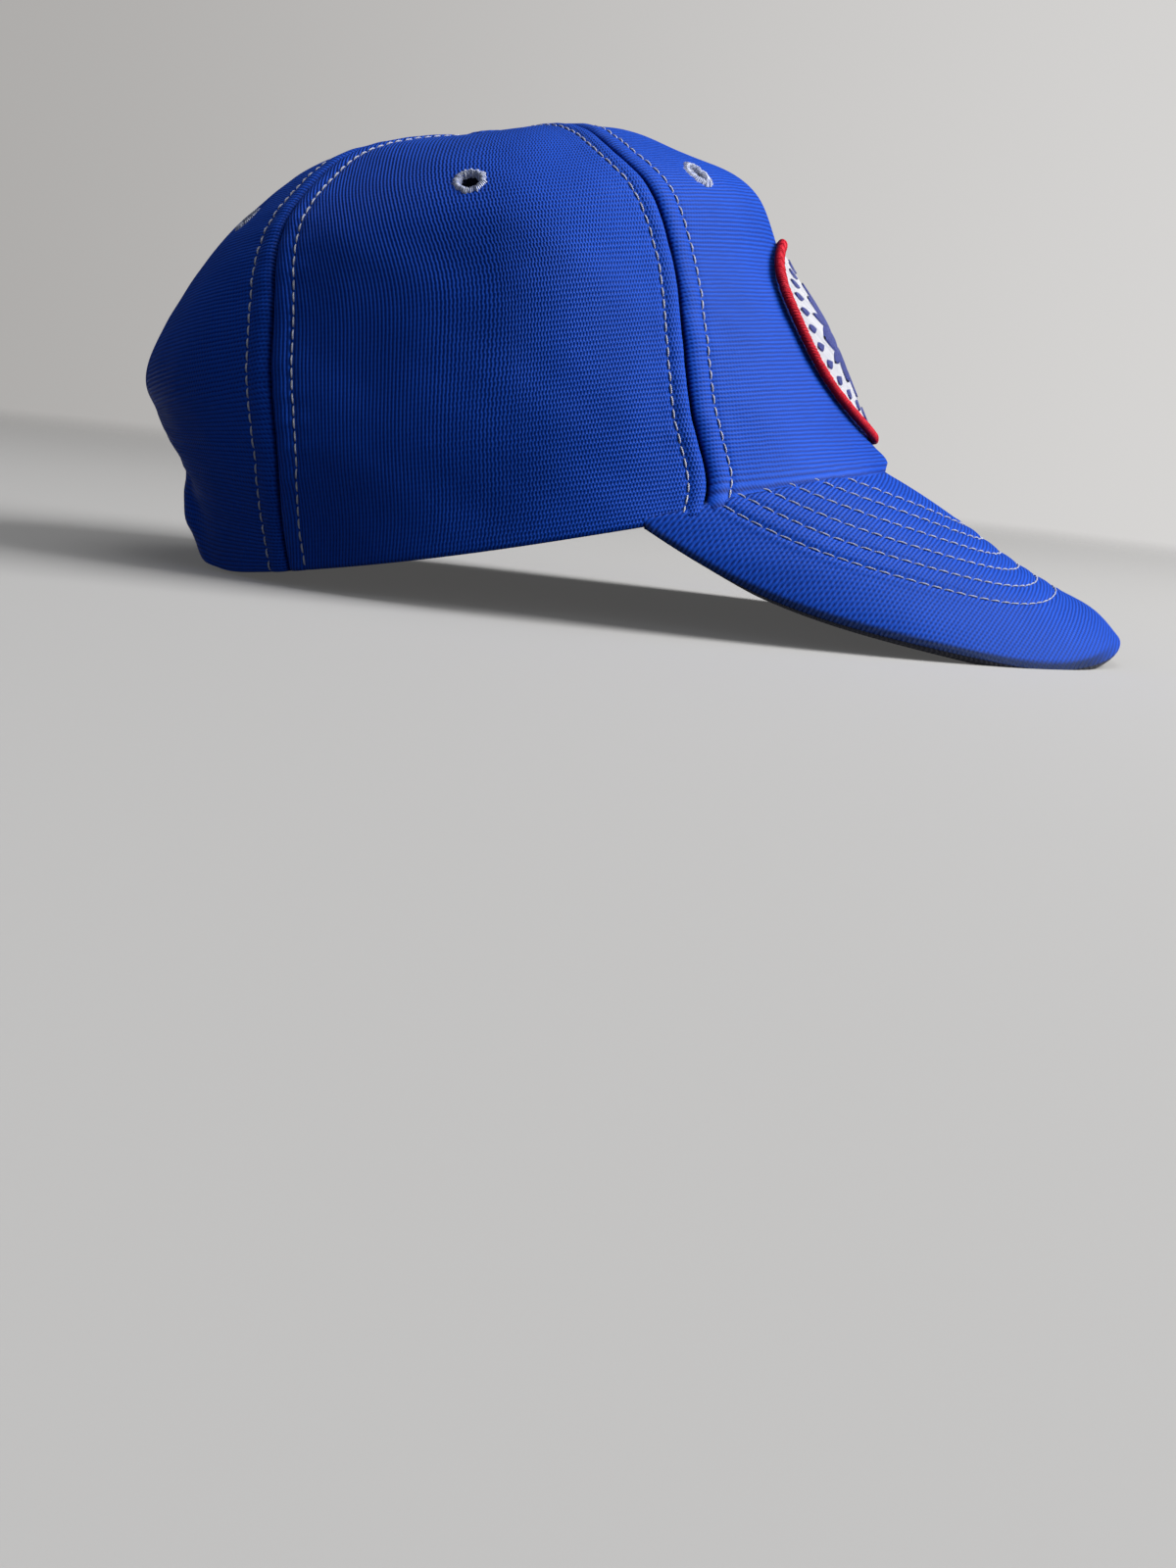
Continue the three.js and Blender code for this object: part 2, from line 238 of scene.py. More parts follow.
@dataclass(frozen=True)
class RestPose:
    """How the cap lies: tipped back until the rim's back and the peak's sides touch the floor."""

    tilt: float = 13.6
    high: float = 22.0
    shift: float = -29.2

    def place(self, points: Array) -> Array:
        """Moves crown-frame points into the row frame; those under the floor are pressed flat on it.

        Args:
            points: Points in millimetres in the crown's frame.

        Returns:
            Points in metres in the row frame.
        """
        c = math.cos(math.radians(self.tilt))
        s = math.sin(math.radians(self.tilt))
        x = points[..., 0] * c - points[..., 2] * s + self.shift
        z = points[..., 0] * s + points[..., 2] * c + self.high
        return np.stack([x, points[..., 1], np.maximum(z, 0.0)], -1) * MM


@dataclass(frozen=True)
class CrownShape:
    """The crown's outer face, a smooth surface through the section table."""

    wall: float = 2.2
    rim_dip: float = 2.7
    rim_dip_fade: float = 3.0
    top: float = 0.965

    def section(self, share: Array) -> Array:
        """Reads the section table on a smooth curve.

        Args:
            share: Shares of the way up.

        Returns:
            Section columns in the last axis.
        """
        table = np.array(SECTIONS, float)
        before_first = 2 * table[0] - table[1]
        after_last = 2 * table[-1] - table[-2]
        rows = np.vstack([before_first, table, after_last])
        last = len(table) - 1
        place = np.clip(np.asarray(share, float), 0, 1) * last
        index = np.minimum(np.floor(place).astype(int), last - 1)
        t = (place - index)[..., None]
        before, here, after, beyond = (rows[index + k] for k in range(4))
        bend = 2 * before - 5 * here + 4 * after - beyond
        twist = 3 * here - before - 3 * after + beyond
        return 0.5 * (2 * here + (after - before) * t + bend * t**2 + twist * t**3)

    def base(self, angle: Array, share: Array) -> Array:
        """Gives points of the smooth crown.

        Args:
            angle: Degrees round the crown.
            share: Shares of the way up.

        Returns:
            Points in millimetres.
        """
        angle, share = np.broadcast_arrays(np.asarray(angle, float), np.asarray(share, float))
        columns = Section(*np.moveaxis(self.section(share), -1, 0))
        along = np.cos(np.radians(angle))
        across = np.sin(np.radians(angle))
        front = along > 0
        reach = np.where(front, columns.front_reach, columns.back_reach)
        end_high = np.where(front, columns.front_high, columns.back_high)
        square = columns.back_square
        rounded = (np.abs(along) ** square + np.abs(across) ** square) ** (-1 / square)
        swell = np.where(front, 1.0, rounded)
        narrow = np.where(front, 1 - columns.front_narrow * along**2, 1.0)
        dip = self.rim_dip * across**2 * (1 - along) * (1 - share) ** self.rim_dip_fade
        high = columns.side_high + (end_high - columns.side_high) * along**2 - dip
        wide = columns.side_reach * across * swell * narrow
        return np.stack([reach * along * swell, wide, high], -1)

    def normal(self, angle: Array, share: Array) -> Array:
        """Gives outward directions of the smooth crown.

        Args:
            angle: Degrees round the crown.
            share: Shares of the way up.

        Returns:
            Unit vectors.
        """
        turn, rise = 0.5, 0.004
        low = np.maximum(0, np.asarray(share, float) - rise)
        around = self.base(angle + turn, share) - self.base(angle - turn, share)
        up = self.base(angle, low + 2 * rise) - self.base(angle, low)
        return unit(np.cross(around, up))

    def cloth(self, angle: Array, share: Array, lift: Array) -> Array:
        """Gives points of the cloth, with the crown's hollows.

        Args:
            angle: Degrees round the crown.
            share: Shares of the way up.
            lift: Millimetres off the outer face.

        Returns:
            Points in millimetres.
        """
        points = self.base(angle, share)
        depth = np.zeros(points.shape[:-1])
        for hollow in HOLLOWS:
            middle = self.base(hollow.angle, hollow.share)
            away = np.linalg.norm(points - middle, axis=-1)
            depth += hollow.deep * bell(away, 0, hollow.wide)
        return points + self.normal(angle, share) * (lift - depth)[..., None]

    def seam(self, column: str, share: Array) -> Array:
        """Follows a seam."""
        angle = self.section(share)[..., Section._fields.index(column)]
        return np.stack([angle, share], 1)


@dataclass(frozen=True)
class ArchShape:
    """The half-moon opening in the back, cut straight along X."""

    half_width: float = 38.0
    high: float = 43.0
    squareness: float = 2.4

    def edge(self, crown: CrownShape, count: int = 90) -> Array:
        """Follows the opening's left edge from the rim to its top.

        Args:
            crown: The crown that it is cut in.
            count: Number of points.

        Returns:
            Rows of angle and share.
        """
        turn = np.linspace(0, math.pi / 2, count)
        across = self.half_width * np.cos(turn) ** (2 / self.squareness)
        high = self.high * np.sin(turn) ** (2 / self.squareness)
        low_share = np.zeros(count)
        high_share = np.full(count, 0.6)
        for _ in range(40):
            share = (low_share + high_share) / 2
            angle = self.angle(crown, across, share)
            under = crown.base(angle, share)[:, 2] < high
            low_share = np.where(under, share, low_share)
            high_share = np.where(under, high_share, share)
        share[0] = 0.0
        return np.stack([self.angle(crown, across, share), share], 1)

    @staticmethod
    def angle(crown: CrownShape, across: Array, share: Array) -> Array:
        """Finds the angle at a distance from the middle of the back.

        Args:
            crown: The crown.
            across: Millimetres to the left of the middle.
            share: Shares of the way up.

        Returns:
            Degrees round the crown.
        """
        columns = Section(*np.moveaxis(crown.section(share), -1, 0))
        part = (across / columns.side_reach) ** columns.back_square
        return 180 - np.degrees(np.arctan((part / (1 - part)) ** (1 / columns.back_square)))


@dataclass(frozen=True)
class PeakShape:
    """The peak's top face, a sheet bent about one direction, along its slope."""

    crown: CrownShape
    corner: float = 74.0
    slope: float = 41.0
    reach: float = 64.0
    squareness: float = 2.2
    end: float = 1.2
    thick: float = 3.6
    seam_gap: float = 0.6
    crowning: float = 2.6
    droop: float = 4.5

    def top(self, across: Array, out: Array) -> Array:
        """Gives points of the top face.

        Args:
            across: Corner to corner, -1 to 1.
            out: From the seam to the edge, 0 to 1.

        Returns:
            Points in millimetres.
        """
        across, out = np.broadcast_arrays(np.asarray(across, float), np.asarray(out, float))
        corner = self.crown.base(self.corner, 0.0)
        seam = self.crown.base(across * self.corner, np.zeros(across.shape))
        slope = math.radians(self.slope)
        side = np.minimum(1, np.abs(seam[..., 1]) / corner[1])
        roundness = (1 - side**self.squareness) ** (1 / self.squareness)
        tip = SECTIONS[0].front_reach + self.reach
        edge_reach = corner[0] + (tip - corner[0]) * roundness
        length = self.end + (edge_reach - seam[..., 0]) / math.cos(slope)
        run = self.seam_gap + (length - self.seam_gap) * out
        droop = self.droop * out**2 * np.sin(math.pi * np.abs(across)) ** 3
        bow = self.crowning * 4 * out * (1 - out) * np.minimum(1, length / self.reach)
        downhill = np.array([math.cos(slope), 0, -math.sin(slope)])
        uphill = np.array([math.sin(slope), 0, math.cos(slope)])
        return seam + run[..., None] * downhill + (bow - droop)[..., None] * uphill

    def normal(self, across: Array, out: Array) -> Array:
        """Gives upward directions of the top face.

        Args:
            across: Corner to corner, -1 to 1.
            out: From the seam to the edge, 0 to 1.

        Returns:
            Unit vectors.
        """
        step = 0.01
        near = np.maximum(0, out - step)
        left = np.minimum(1, across + step)
        right = np.maximum(-1, across - step)
        around = self.top(left, near + step) - self.top(right, near + step)
        outward = self.top(across, near + 2 * step) - self.top(across, near)
        return unit(np.cross(outward, around))


@dataclass(frozen=True)
class BadgeShape:
    """The round badge, laid flat and then bent on to the front of the crown."""

    crown: CrownShape
    share: float = 0.312
    radius: float = 33.0
    border: float = 3.4
    lift: float = 0.5
    thick: float = 1.0
    border_thick: float = 1.8
    gap: float = 0.35

    def lay(self, left: Array, up: Array, lift: Array) -> Array:
        """Lays flat points on the front.

        Args:
            left: Millimetres to the wearer's left of the badge's middle.
            up: Millimetres up the front from the badge's middle.
            lift: Millimetres off the cloth.

        Returns:
            Points in millimetres.
        """
        shares = np.linspace(0, 1, 600)
        lengths = path_lengths(self.crown.base(np.zeros(600), shares))
        middle = np.interp(self.share, shares, lengths)
        share = np.interp(middle + up, lengths, shares)
        return self.crown.cloth(self.angle(left, share), share, np.broadcast_to(lift, share.shape))

    def angle(self, left: Array, share: Array) -> Array:
        """Finds the angle at a distance round the front.

        Args:
            left: Millimetres to the wearer's left of the middle.
            share: Shares of the way up.

        Returns:
            Degrees round the crown.
        """
        turns = np.linspace(0, 75, 76)
        levels = np.linspace(0, 1, 101)
        grid = self.crown.base(turns[None, :], levels[:, None])
        steps = np.linalg.norm(np.diff(grid, axis=1), axis=-1)
        runs = np.concatenate([np.zeros((len(levels), 1)), np.cumsum(steps, axis=1)], 1)
        place = np.clip(share, 0, 0.99) * 100
        low = np.floor(place).astype(int)
        part = (place - low)[..., None]
        run = runs[low] * (1 - part) + runs[low + 1] * part
        wanted = np.abs(left)[..., None]
        after = np.clip((run < wanted).sum(-1), 1, len(turns) - 1)[..., None]
        here = np.take_along_axis(run, after - 1, -1)
        there = np.take_along_axis(run, after, -1)
        turn = turns[after - 1] + (wanted - here) / (there - here) * turns[1]
        return np.sign(left) * turn[..., 0]


REST = RestPose()


# Meshes


class Mesh:
    """Vertices and faces of one piece while it is put together."""

    def __init__(self) -> None:
        """Starts empty."""
        self.points: list[Array] = []
        self.cloth: list[Array] = []
        self.faces: list[tuple[Array, int]] = []
        self.count = 0

    def add(self, points: Array, faces: Array, cloth: Array | None = None, material: int = 0) -> None:
        """Adds vertices with their faces.

        Args:
            points: Points in millimetres in the crown's frame, one a row.
            faces: Corner numbers from 0, one face a row.
            cloth: Millimetres across and up the cloth at each point, and how much painted shade it
                carries.
            material: Index of the faces' material.
        """
        flat = np.zeros((len(points), 3))
        if cloth is not None:
            flat[:, : cloth.shape[1]] = cloth
        self.points.append(points)
        self.cloth.append(flat)
        self.faces.append((faces + self.count, material))
        self.count += len(points)

    def add_grid(
        self,
        points: Array,
        cloth: Array | None = None,
        closed: bool = False,
        keep: Array | None = None,
        material: int = 0,
    ) -> None:
        """Adds a grid of points as quads.

        Args:
            points: Rows, columns and three numbers.
            cloth: Rows, columns and two or three numbers.
            closed: Whether the last column joins the first.
            keep: Which quads stay, as rows and columns.
            material: Index of the faces' material.
        """
        rows, columns = points.shape[:2]
        index = np.arange(rows * columns).reshape(rows, columns)
        if closed:
            index = np.concatenate([index, index[:, :1]], 1)
        corners = [index[:-1, :-1], index[:-1, 1:], index[1:, 1:], index[1:, :-1]]
        quads = np.stack(corners, -1)
        quads = quads.reshape(-1, 4) if keep is None else quads[keep]
        flat = None if cloth is None else cloth.reshape(-1, cloth.shape[-1])
        self.add(points.reshape(-1, 3), quads, flat, material)

    def build(
        self,
        name: str,
        materials: Sequence[bpy.types.Material],
        weld: float = 0.002,
    ) -> bpy.types.Object:
        """Makes the Blender object in the row frame.

        Args:
            name: Name of the piece.
            materials: Its materials in order.
            weld: Distance in millimetres within which points join, 0 for none.

        Returns:
            The new object.
        """
        points = REST.place(np.concatenate(self.points))
        faces: list[list[int]] = []
        indices: list[int] = []
        for block, material in self.faces:
            faces.extend(block.tolist())
            indices.extend([material] * len(block))
        mesh = bpy.data.meshes.new(name)
        mesh.from_pydata(points.tolist(), [], faces)
        mesh.polygons.foreach_set("material_index", indices)
        layer = mesh.attributes.new(CLOTH_COORDINATES, "FLOAT_VECTOR", "POINT")
        layer.data.foreach_set("vector", np.concatenate(self.cloth).astype(np.float32).ravel())
        work = bmesh.new()
        work.from_mesh(mesh)
        if weld > 0:
            bmesh.ops.remove_doubles(work, verts=work.verts[:], dist=weld * MM)
        bmesh.ops.recalc_face_normals(work, faces=work.faces[:])
        work.to_mesh(mesh)
        work.free()
        mesh.polygons.foreach_set("use_smooth", [True] * len(mesh.polygons))
        for material in materials:
            mesh.materials.append(material)
        piece = bpy.data.objects.new(name, mesh)
        bpy.context.scene.collection.objects.link(piece)
        return piece


def closed_sheet(
    mesh: Mesh, outer: Array, inner: Array, cloth: Array, keep: Array | None = None
) -> None:
    """Adds a sheet with an outer and an inner face and walls round its border.

    Args:
        mesh: Mesh to add to.
        outer: Grid of points of the outer face.
        inner: Grid of points of the inner face.
        cloth: Millimetres across and up the cloth on the same grid, and how much painted shade it
            carries.
        keep: Which quads stay, for holes.
    """
    mesh.add_grid(outer, cloth, keep=keep)
    mesh.add_grid(inner, cloth, keep=keep, material=1)
    for border in (np.s_[0, :], np.s_[-1, :], np.s_[:, 0], np.s_[:, -1]):
        strip = np.stack([outer[border], inner[border]])
        mesh.add_grid(strip, np.stack([cloth[border], cloth[border]]))


@dataclass(frozen=True)
class Stitching:
    """Rows of sewing thread: each stitch lies on the cloth and dives into it at its ends."""

    length: float = 2.95
    pitch: float = 3.25
    radius: float = 0.26
    proud: float = 0.32
    dive: float = 0.2
    rings: int = 7
    sides: int = 6

    def add_row(self, mesh: Mesh, path: Array, normals: Array, seed: int) -> None:
        """Adds one row of stitches along a path.

        Args:
            mesh: Mesh to add to.
            path: Points on the cloth in millimetres.
            normals: Outward directions at the points.
            seed: Seed of the small unevenness.
        """
        lengths = path_lengths(path)
        count = int((lengths[-1] - self.length) // self.pitch) + 1
        draw = np.random.default_rng(seed)
        starts = np.arange(count) * self.pitch + draw.uniform(-0.12, 0.12, count)
        share = np.linspace(0, 1, self.rings)
        places = np.clip(starts[:, None] + share * self.length, 0, lengths[-1]).ravel()
        centre = sample_line(lengths, path, places).reshape(count, self.rings, 3)
        normal = unit(sample_line(lengths, normals, places)).reshape(count, self.rings, 3)
        along = unit(np.gradient(centre, axis=1))
        across = unit(np.cross(normal, along))
        lie = np.sin(math.pi * share) ** 0.35
        skew = draw.uniform(-0.1, 0.1, (count, 1)) * (share - 0.5)
        centre = centre + normal * (self.proud * lie - self.dive * (1 - lie))[None, :, None]
        centre = centre + across * skew[..., None]
        thick = self.radius * (0.45 + 0.55 * np.sin(math.pi * share) ** 0.4)
        turn = np.arange(self.sides) * 2 * math.pi / self.sides
        sideways = np.cos(turn)[:, None] * across[:, :, None, :]
        ring = sideways + np.sin(turn)[:, None] * normal[:, :, None, :]
        points = centre[:, :, None, :] + ring * thick[None, :, None, None]
        twist = np.stack(np.meshgrid(np.arange(self.sides), share * self.length), -1).astype(float)
        for stitch in points:
            mesh.add_grid(stitch, twist, closed=True)


# Materials


class Nodes:
    """Short hand for building a node tree."""

    def __init__(self, tree: bpy.types.NodeTree) -> None:
        """Keeps the tree."""
        self.tree = tree

    def add(
        self,
        kind: str,
        inputs: dict[str | int, object] | None = None,
        **settings: object,
    ) -> bpy.types.Node:
        """Adds a node, sets it and links its inputs.

        Args:
            kind: Blender's node type.
            inputs: Values, or sockets to link from, by input name or number.
            settings: Attributes of the node.

        Returns:
            The node.
        """
        node = self.tree.nodes.new(kind)
        for key, value in settings.items():
            setattr(node, key, value)
        for key, value in (inputs or {}).items():
            if isinstance(value, bpy.types.NodeSocket):
                self.tree.links.new(value, node.inputs[key])
            else:
                node.inputs[key].default_value = value
        return node

    def math(self, operation: str, *values: object) -> bpy.types.NodeSocket:
        """Adds a Math node."""
        return self.add("ShaderNodeMath", dict(enumerate(values)), operation=operation).outputs[0]

    def wave(
        self, place: bpy.types.NodeSocket, pitch: object, phase: object = 0.0
    ) -> bpy.types.NodeSocket:
        """Adds a cosine wave from 0 to 1.

        Args:
            place: Millimetres along the wave.
            pitch: Millimetres from crest to crest.
            phase: Phase in radians.

        Returns:
            The wave's socket.
        """
        turns = self.math("DIVIDE", place, pitch)
        angle = self.math("MULTIPLY_ADD", turns, 2 * math.pi, phase)
        return self.math("MULTIPLY_ADD", self.math("COSINE", angle), 0.5, 0.5)

    def mix(self, share: object, first: object, second: object) -> bpy.types.NodeSocket:
        """Mixes two colours.

        Args:
            share: How much of the second.
            first: Colour or socket.
            second: Colour or socket.

        Returns:
            The mixed colour.
        """
        node = self.add("ShaderNodeMix", data_type="RGBA")
        for index, value in ((0, share), (6, first), (7, second)):
            if isinstance(value, bpy.types.NodeSocket):
                self.tree.links.new(value, node.inputs[index])
            elif index == 0:
                node.inputs[index].default_value = value
            else:
                node.inputs[index].default_value = (*value, 1.0)
        return node.outputs[2]


def new_group(name: str, inputs: dict[str, float], outputs: Sequence[str]) -> bpy.types.NodeTree:
    """Starts a shader node group of plain numbers.

    Args:
        name: Name of the group.
        inputs: Input names with their usual values.
        outputs: Output names.

    Returns:
        The group's tree.
    """
    tree = bpy.data.node_groups.new(name, "ShaderNodeTree")
    for label, value in inputs.items():
        socket = tree.interface.new_socket(label, in_out="INPUT", socket_type="NodeSocketFloat")
        socket.default_value = value
    for label in outputs:
        tree.interface.new_socket(label, in_out="OUTPUT", socket_type="NodeSocketFloat")
    return tree


def knit_group() -> bpy.types.NodeTree:
    """Makes the knit's relief: courses across, wales up, each second course shifted by half a loop.

    Returns:
        A group that gives the loops' height, painted shade in the gaps between them, and the painted
        seam and edge shade that the cloth coordinates carry.
    """
    values = {"Course Pitch": 1.25, "Wale Pitch": 0.95, "Courses": 1.0, "Wales": 0.6, "Stagger": 1.0}
    tree = new_group("knit_loops", {**values, "Unevenness": 0.12}, ("Height", "Gap", "Groove"))
    nodes = Nodes(tree)
    given = nodes.add("NodeGroupInput").outputs
    place = nodes.add("ShaderNodeAttribute", attribute_name=CLOTH_COORDINATES).outputs["Vector"]
    wobble = nodes.add("ShaderNodeTexNoise", {"Vector": place, "Scale": 0.35, "Detail": 2.0})
    centred = nodes.math("SUBTRACT", wobble.outputs["Fac"], 0.5)
    shift = nodes.math("MULTIPLY", centred, given["Unevenness"])
    parts = nodes.add("ShaderNodeSeparateXYZ", {0: place}).outputs
    across = nodes.math("ADD", parts["X"], shift)
    up = nodes.math("ADD", parts["Y"], nodes.math("MULTIPLY", shift, 3.0))
    course = nodes.wave(up, given["Course Pitch"])
    row = nodes.math("FLOOR", nodes.math("DIVIDE", up, given["Course Pitch"]))
    half_loop = nodes.math("MULTIPLY", given["Stagger"], math.pi)
    phase = nodes.math("MULTIPLY", nodes.math("MODULO", row, 2.0), half_loop)
    wale = nodes.wave(across, given["Wale Pitch"], phase)
    total = nodes.math("ADD", given["Courses"], given["Wales"])
    weighed = nodes.math("MULTIPLY", wale, given["Wales"])
    sum_of = nodes.math("MULTIPLY_ADD", course, given["Courses"], weighed)
    height = nodes.math("DIVIDE", sum_of, total)
    # Painted shade in the gaps between the loops.
    gap = nodes.math("POWER", nodes.math("SUBTRACT", 1.0, height), 2.0)
    nodes.add("NodeGroupOutput", {"Height": height, "Gap": gap, "Groove": parts["Z"]})
    return tree


def strand_group() -> bpy.types.NodeTree:
    """Makes the relief of laid thread: strands side by side, each twisted.

    Returns:
        A group that gives the strands' height and a random share for each strand.
    """
    tree = new_group("thread_strands", {"Pitch": 0.4, "Slant": 0.3}, ("Height", "Strand"))
    nodes = Nodes(tree)
    given = nodes.add("NodeGroupInput").outputs
    place = nodes.add("ShaderNodeAttribute", attribute_name=CLOTH_COORDINATES).outputs["Vector"]
    parts = nodes.add("ShaderNodeSeparateXYZ", {0: place}).outputs
    slanted = nodes.math("MULTIPLY_ADD", parts["X"], given["Slant"], parts["Y"])
    height = nodes.wave(slanted, given["Pitch"])
    row = nodes.math("FLOOR", nodes.math("DIVIDE", slanted, given["Pitch"]))
    strand = nodes.add("ShaderNodeTexWhiteNoise", {"W": row}, noise_dimensions="1D").outputs["Value"]
    nodes.add("NodeGroupOutput", {"Height": height, "Strand": strand})
    return tree


def mottle_group() -> bpy.types.NodeTree:
    """Makes soft uneven patches, for fading and handling.

    Returns:
        A group that gives a share from 0 to 1.
    """
    tree = new_group("soft_mottle", {"Scale": 40.0, "Contrast": 1.5}, ("Share",))
    nodes = Nodes(tree)
    given = nodes.add("NodeGroupInput").outputs
    place = nodes.add("ShaderNodeTexCoord").outputs["Object"]
    noise = nodes.add("ShaderNodeTexNoise", {"Vector": place, "Scale": given["Scale"], "Detail": 3.0})
    centred = nodes.math("SUBTRACT", noise.outputs["Fac"], 0.5)
    share = nodes.math("MULTIPLY_ADD", centred, given["Contrast"], 0.5)
    clamped = nodes.add("ShaderNodeClamp", {0: share}).outputs[0]
    nodes.add("NodeGroupOutput", {"Share": clamped})
    return tree


class Effects:
    """The node groups that materials share."""

    def __init__(self) -> None:
        """Makes the groups."""
        self.knit = knit_group()
        self.strands = strand_group()
        self.mottle = mottle_group()


@dataclass(frozen=True)
class Finish:
    """What every finish has: a name, a colour, a darker colour and a gloss. The darker colour is
    painted shade in the hollows of knit and thread, with random strand tone in thread and random
    patches in plastic.
    """

    name: str
    colour: Colour
    dark: Colour
    roughness: float = 0.6
    sheen: float = 0.0
    sheen_tint: Colour = (1.0, 1.0, 1.0)
    sheen_roughness: float = 0.45
    gloss: float = 0.5
    gloss_tint: Colour = (1.0, 1.0, 1.0)
    bump: float = 0.25

    def start(self) -> tuple[bpy.types.Material, Nodes, bpy.types.Node]:
        """Makes the material with a plain shader.

        Returns:
            The material, its nodes and its shader.
        """
        material = bpy.data.materials.new(self.name)
        material.use_nodes = True
        nodes = Nodes(material.node_tree)
        shader = next(n for n in material.node_tree.nodes if n.type == "BSDF_PRINCIPLED")
        shader.inputs["Roughness"].default_value = self.roughness
        shader.inputs["Specular IOR Level"].default_value = self.gloss
        shader.inputs["Specular Tint"].default_value = (*self.gloss_tint, 1.0)
        shader.inputs["Sheen Weight"].default_value = self.sheen
        shader.inputs["Sheen Roughness"].default_value = self.sheen_roughness
        shader.inputs["Sheen Tint"].default_value = (*self.sheen_tint, 1.0)
        return material, nodes, shader

    def finish(self, nodes: Nodes, shader: bpy.types.Node, colour: object, height: object) -> None:
        """Links colour and relief to the shader.

        Args:
            nodes: The material's nodes.
            shader: Its shader.
            colour: Socket of the colour.
            height: Socket of the relief, 0 to 1.
        """
        settings = {"Height": height, "Strength": 1.0, "Distance": self.bump * MM}
        bump = nodes.add("ShaderNodeBump", settings)
        nodes.tree.links.new(colour, shader.inputs["Base Color"])
        nodes.tree.links.new(bump.outputs[0], shader.inputs["Normal"])


TURN_OVER = (("Courses", 0.8, 0.12), ("Wales", 0.7, 1.0), ("Stagger", 1.0, 0.0))


@dataclass(frozen=True)
class KnitFinish(Finish):
    """Fine double-knit cloth with a soft sheen."""

    courses: float = 1.0
    wales: float = 0.6
    course_pitch: float = 1.25
    wale_pitch: float = 0.95
    turns_over: tuple[float, float] | None = None

    def build(self, effects: Effects) -> bpy.types.Material:
        """Makes the material.

        Args:
            effects: The shared node groups.

        Returns:
            The material.
        """
        material, nodes, shader = self.start()
        sizes = {
            "Courses": self.courses,
            "Wales": self.wales,
            "Course Pitch": self.course_pitch,
            "Wale Pitch": self.wale_pitch,
        }
        loops = nodes.add("ShaderNodeGroup", node_tree=effects.knit)
        for label, value in sizes.items():
            loops.inputs[label].default_value = value
        if self.turns_over is not None:
            self.turn_over(nodes, loops)
        mottle = nodes.add("ShaderNodeGroup", node_tree=effects.mottle)
        faded = tuple(FADED * c for c in self.colour)
        worn = tuple(WORN * c for c in self.colour)
        cloth = nodes.mix(mottle.outputs["Share"], worn, faded)
        # Painted shade: darker in the gaps between loops, and near-black along the seam grooves and the
        # peak's edge and seam.
        colour = nodes.mix(loops.outputs["Gap"], cloth, self.dark)
        colour = nodes.mix(loops.outputs["Groove"], colour, PAINTED_SHADE_COLOUR)
        self.finish(nodes, shader, colour, loops.outputs["Height"])
        return material

    def turn_over(self, nodes: Nodes, loops: bpy.types.Node) -> None:
        """Lets courses show at one side of the cloth and wales at the other.

        Args:
            nodes: The material's nodes.
            loops: The knit group's node.
        """
        place = nodes.add("ShaderNodeAttribute", attribute_name=CLOTH_COORDINATES).outputs["Vector"]
        across = nodes.add("ShaderNodeSeparateXYZ", {0: place}).outputs["X"]
        low, high = self.turns_over
        for label, first, last in TURN_OVER:
            span = {"Value": across, "From Min": low, "From Max": high, "To Min": first, "To Max": last}
            ease = nodes.add("ShaderNodeMapRange", span, interpolation_type="SMOOTHSTEP")
            nodes.tree.links.new(ease.outputs["Result"], loops.inputs[label])


@dataclass(frozen=True)
class ThreadFinish(Finish):
    """Laid or sewn thread, each strand a little lighter or darker, with painted shade in the hollows
    between strands.
    """

    pitch: float = 0.4
    slant: float = 0.3
    unevenness: float = 0.55
    hollow_shade: float = 0.4

    def build(self, effects: Effects) -> bpy.types.Material:
        """Makes the material.

        Args:
            effects: The shared node groups.

        Returns:
            The material.
        """
        material, nodes, shader = self.start()
        strands = nodes.add("ShaderNodeGroup", node_tree=effects.strands)
        strands.inputs["Pitch"].default_value = self.pitch
        strands.inputs["Slant"].default_value = self.slant
        # The darker colour is mixed in as random strand tone and as painted shade in the hollows
        # between strands.
        uneven = nodes.math("MULTIPLY", strands.outputs["Strand"], self.unevenness)
        hollow = nodes.math("SUBTRACT", 1.0, strands.outputs["Height"])
        share = nodes.math("MULTIPLY_ADD", hollow, self.hollow_shade, uneven)
        colour = nodes.mix(share, self.colour, self.dark)
        self.finish(nodes, shader, colour, strands.outputs["Height"])
        return material


@dataclass(frozen=True)
class PlasticFinish(Finish):
    """Moulded soft plastic with a fine grain."""

    grain_scale: float = 900.0
    patch_scale: float = 60.0

    def build(self, effects: Effects) -> bpy.types.Material:
        """Makes the material.

        Args:
            effects: The shared node groups.

        Returns:
            The material.
        """
        material, nodes, shader = self.start()
        mottle = nodes.add("ShaderNodeGroup", node_tree=effects.mottle)
        mottle.inputs["Scale"].default_value = self.grain_scale
        patches = nodes.add("ShaderNodeGroup", node_tree=effects.mottle)
        patches.inputs["Scale"].default_value = self.patch_scale
        colour = nodes.mix(patches.outputs["Share"], self.colour, self.dark)
        self.finish(nodes, shader, colour, mottle.outputs["Share"])
        return material


# Each knit's second colour is painted shade in the gaps between its loops.
ROYAL = srgb(18, 78, 200)
ROYAL_GAP_SHADE = srgb(6, 30, 112)
NAVY = srgb(12, 26, 80)
NAVY_GAP_SHADE = srgb(6, 12, 44)
# Near-black painted shade for the seam grooves and for the peak's edge and seam.
PAINTED_SHADE_COLOUR = srgb(4, 8, 26)
FADED = 1.16
WORN = 0.88


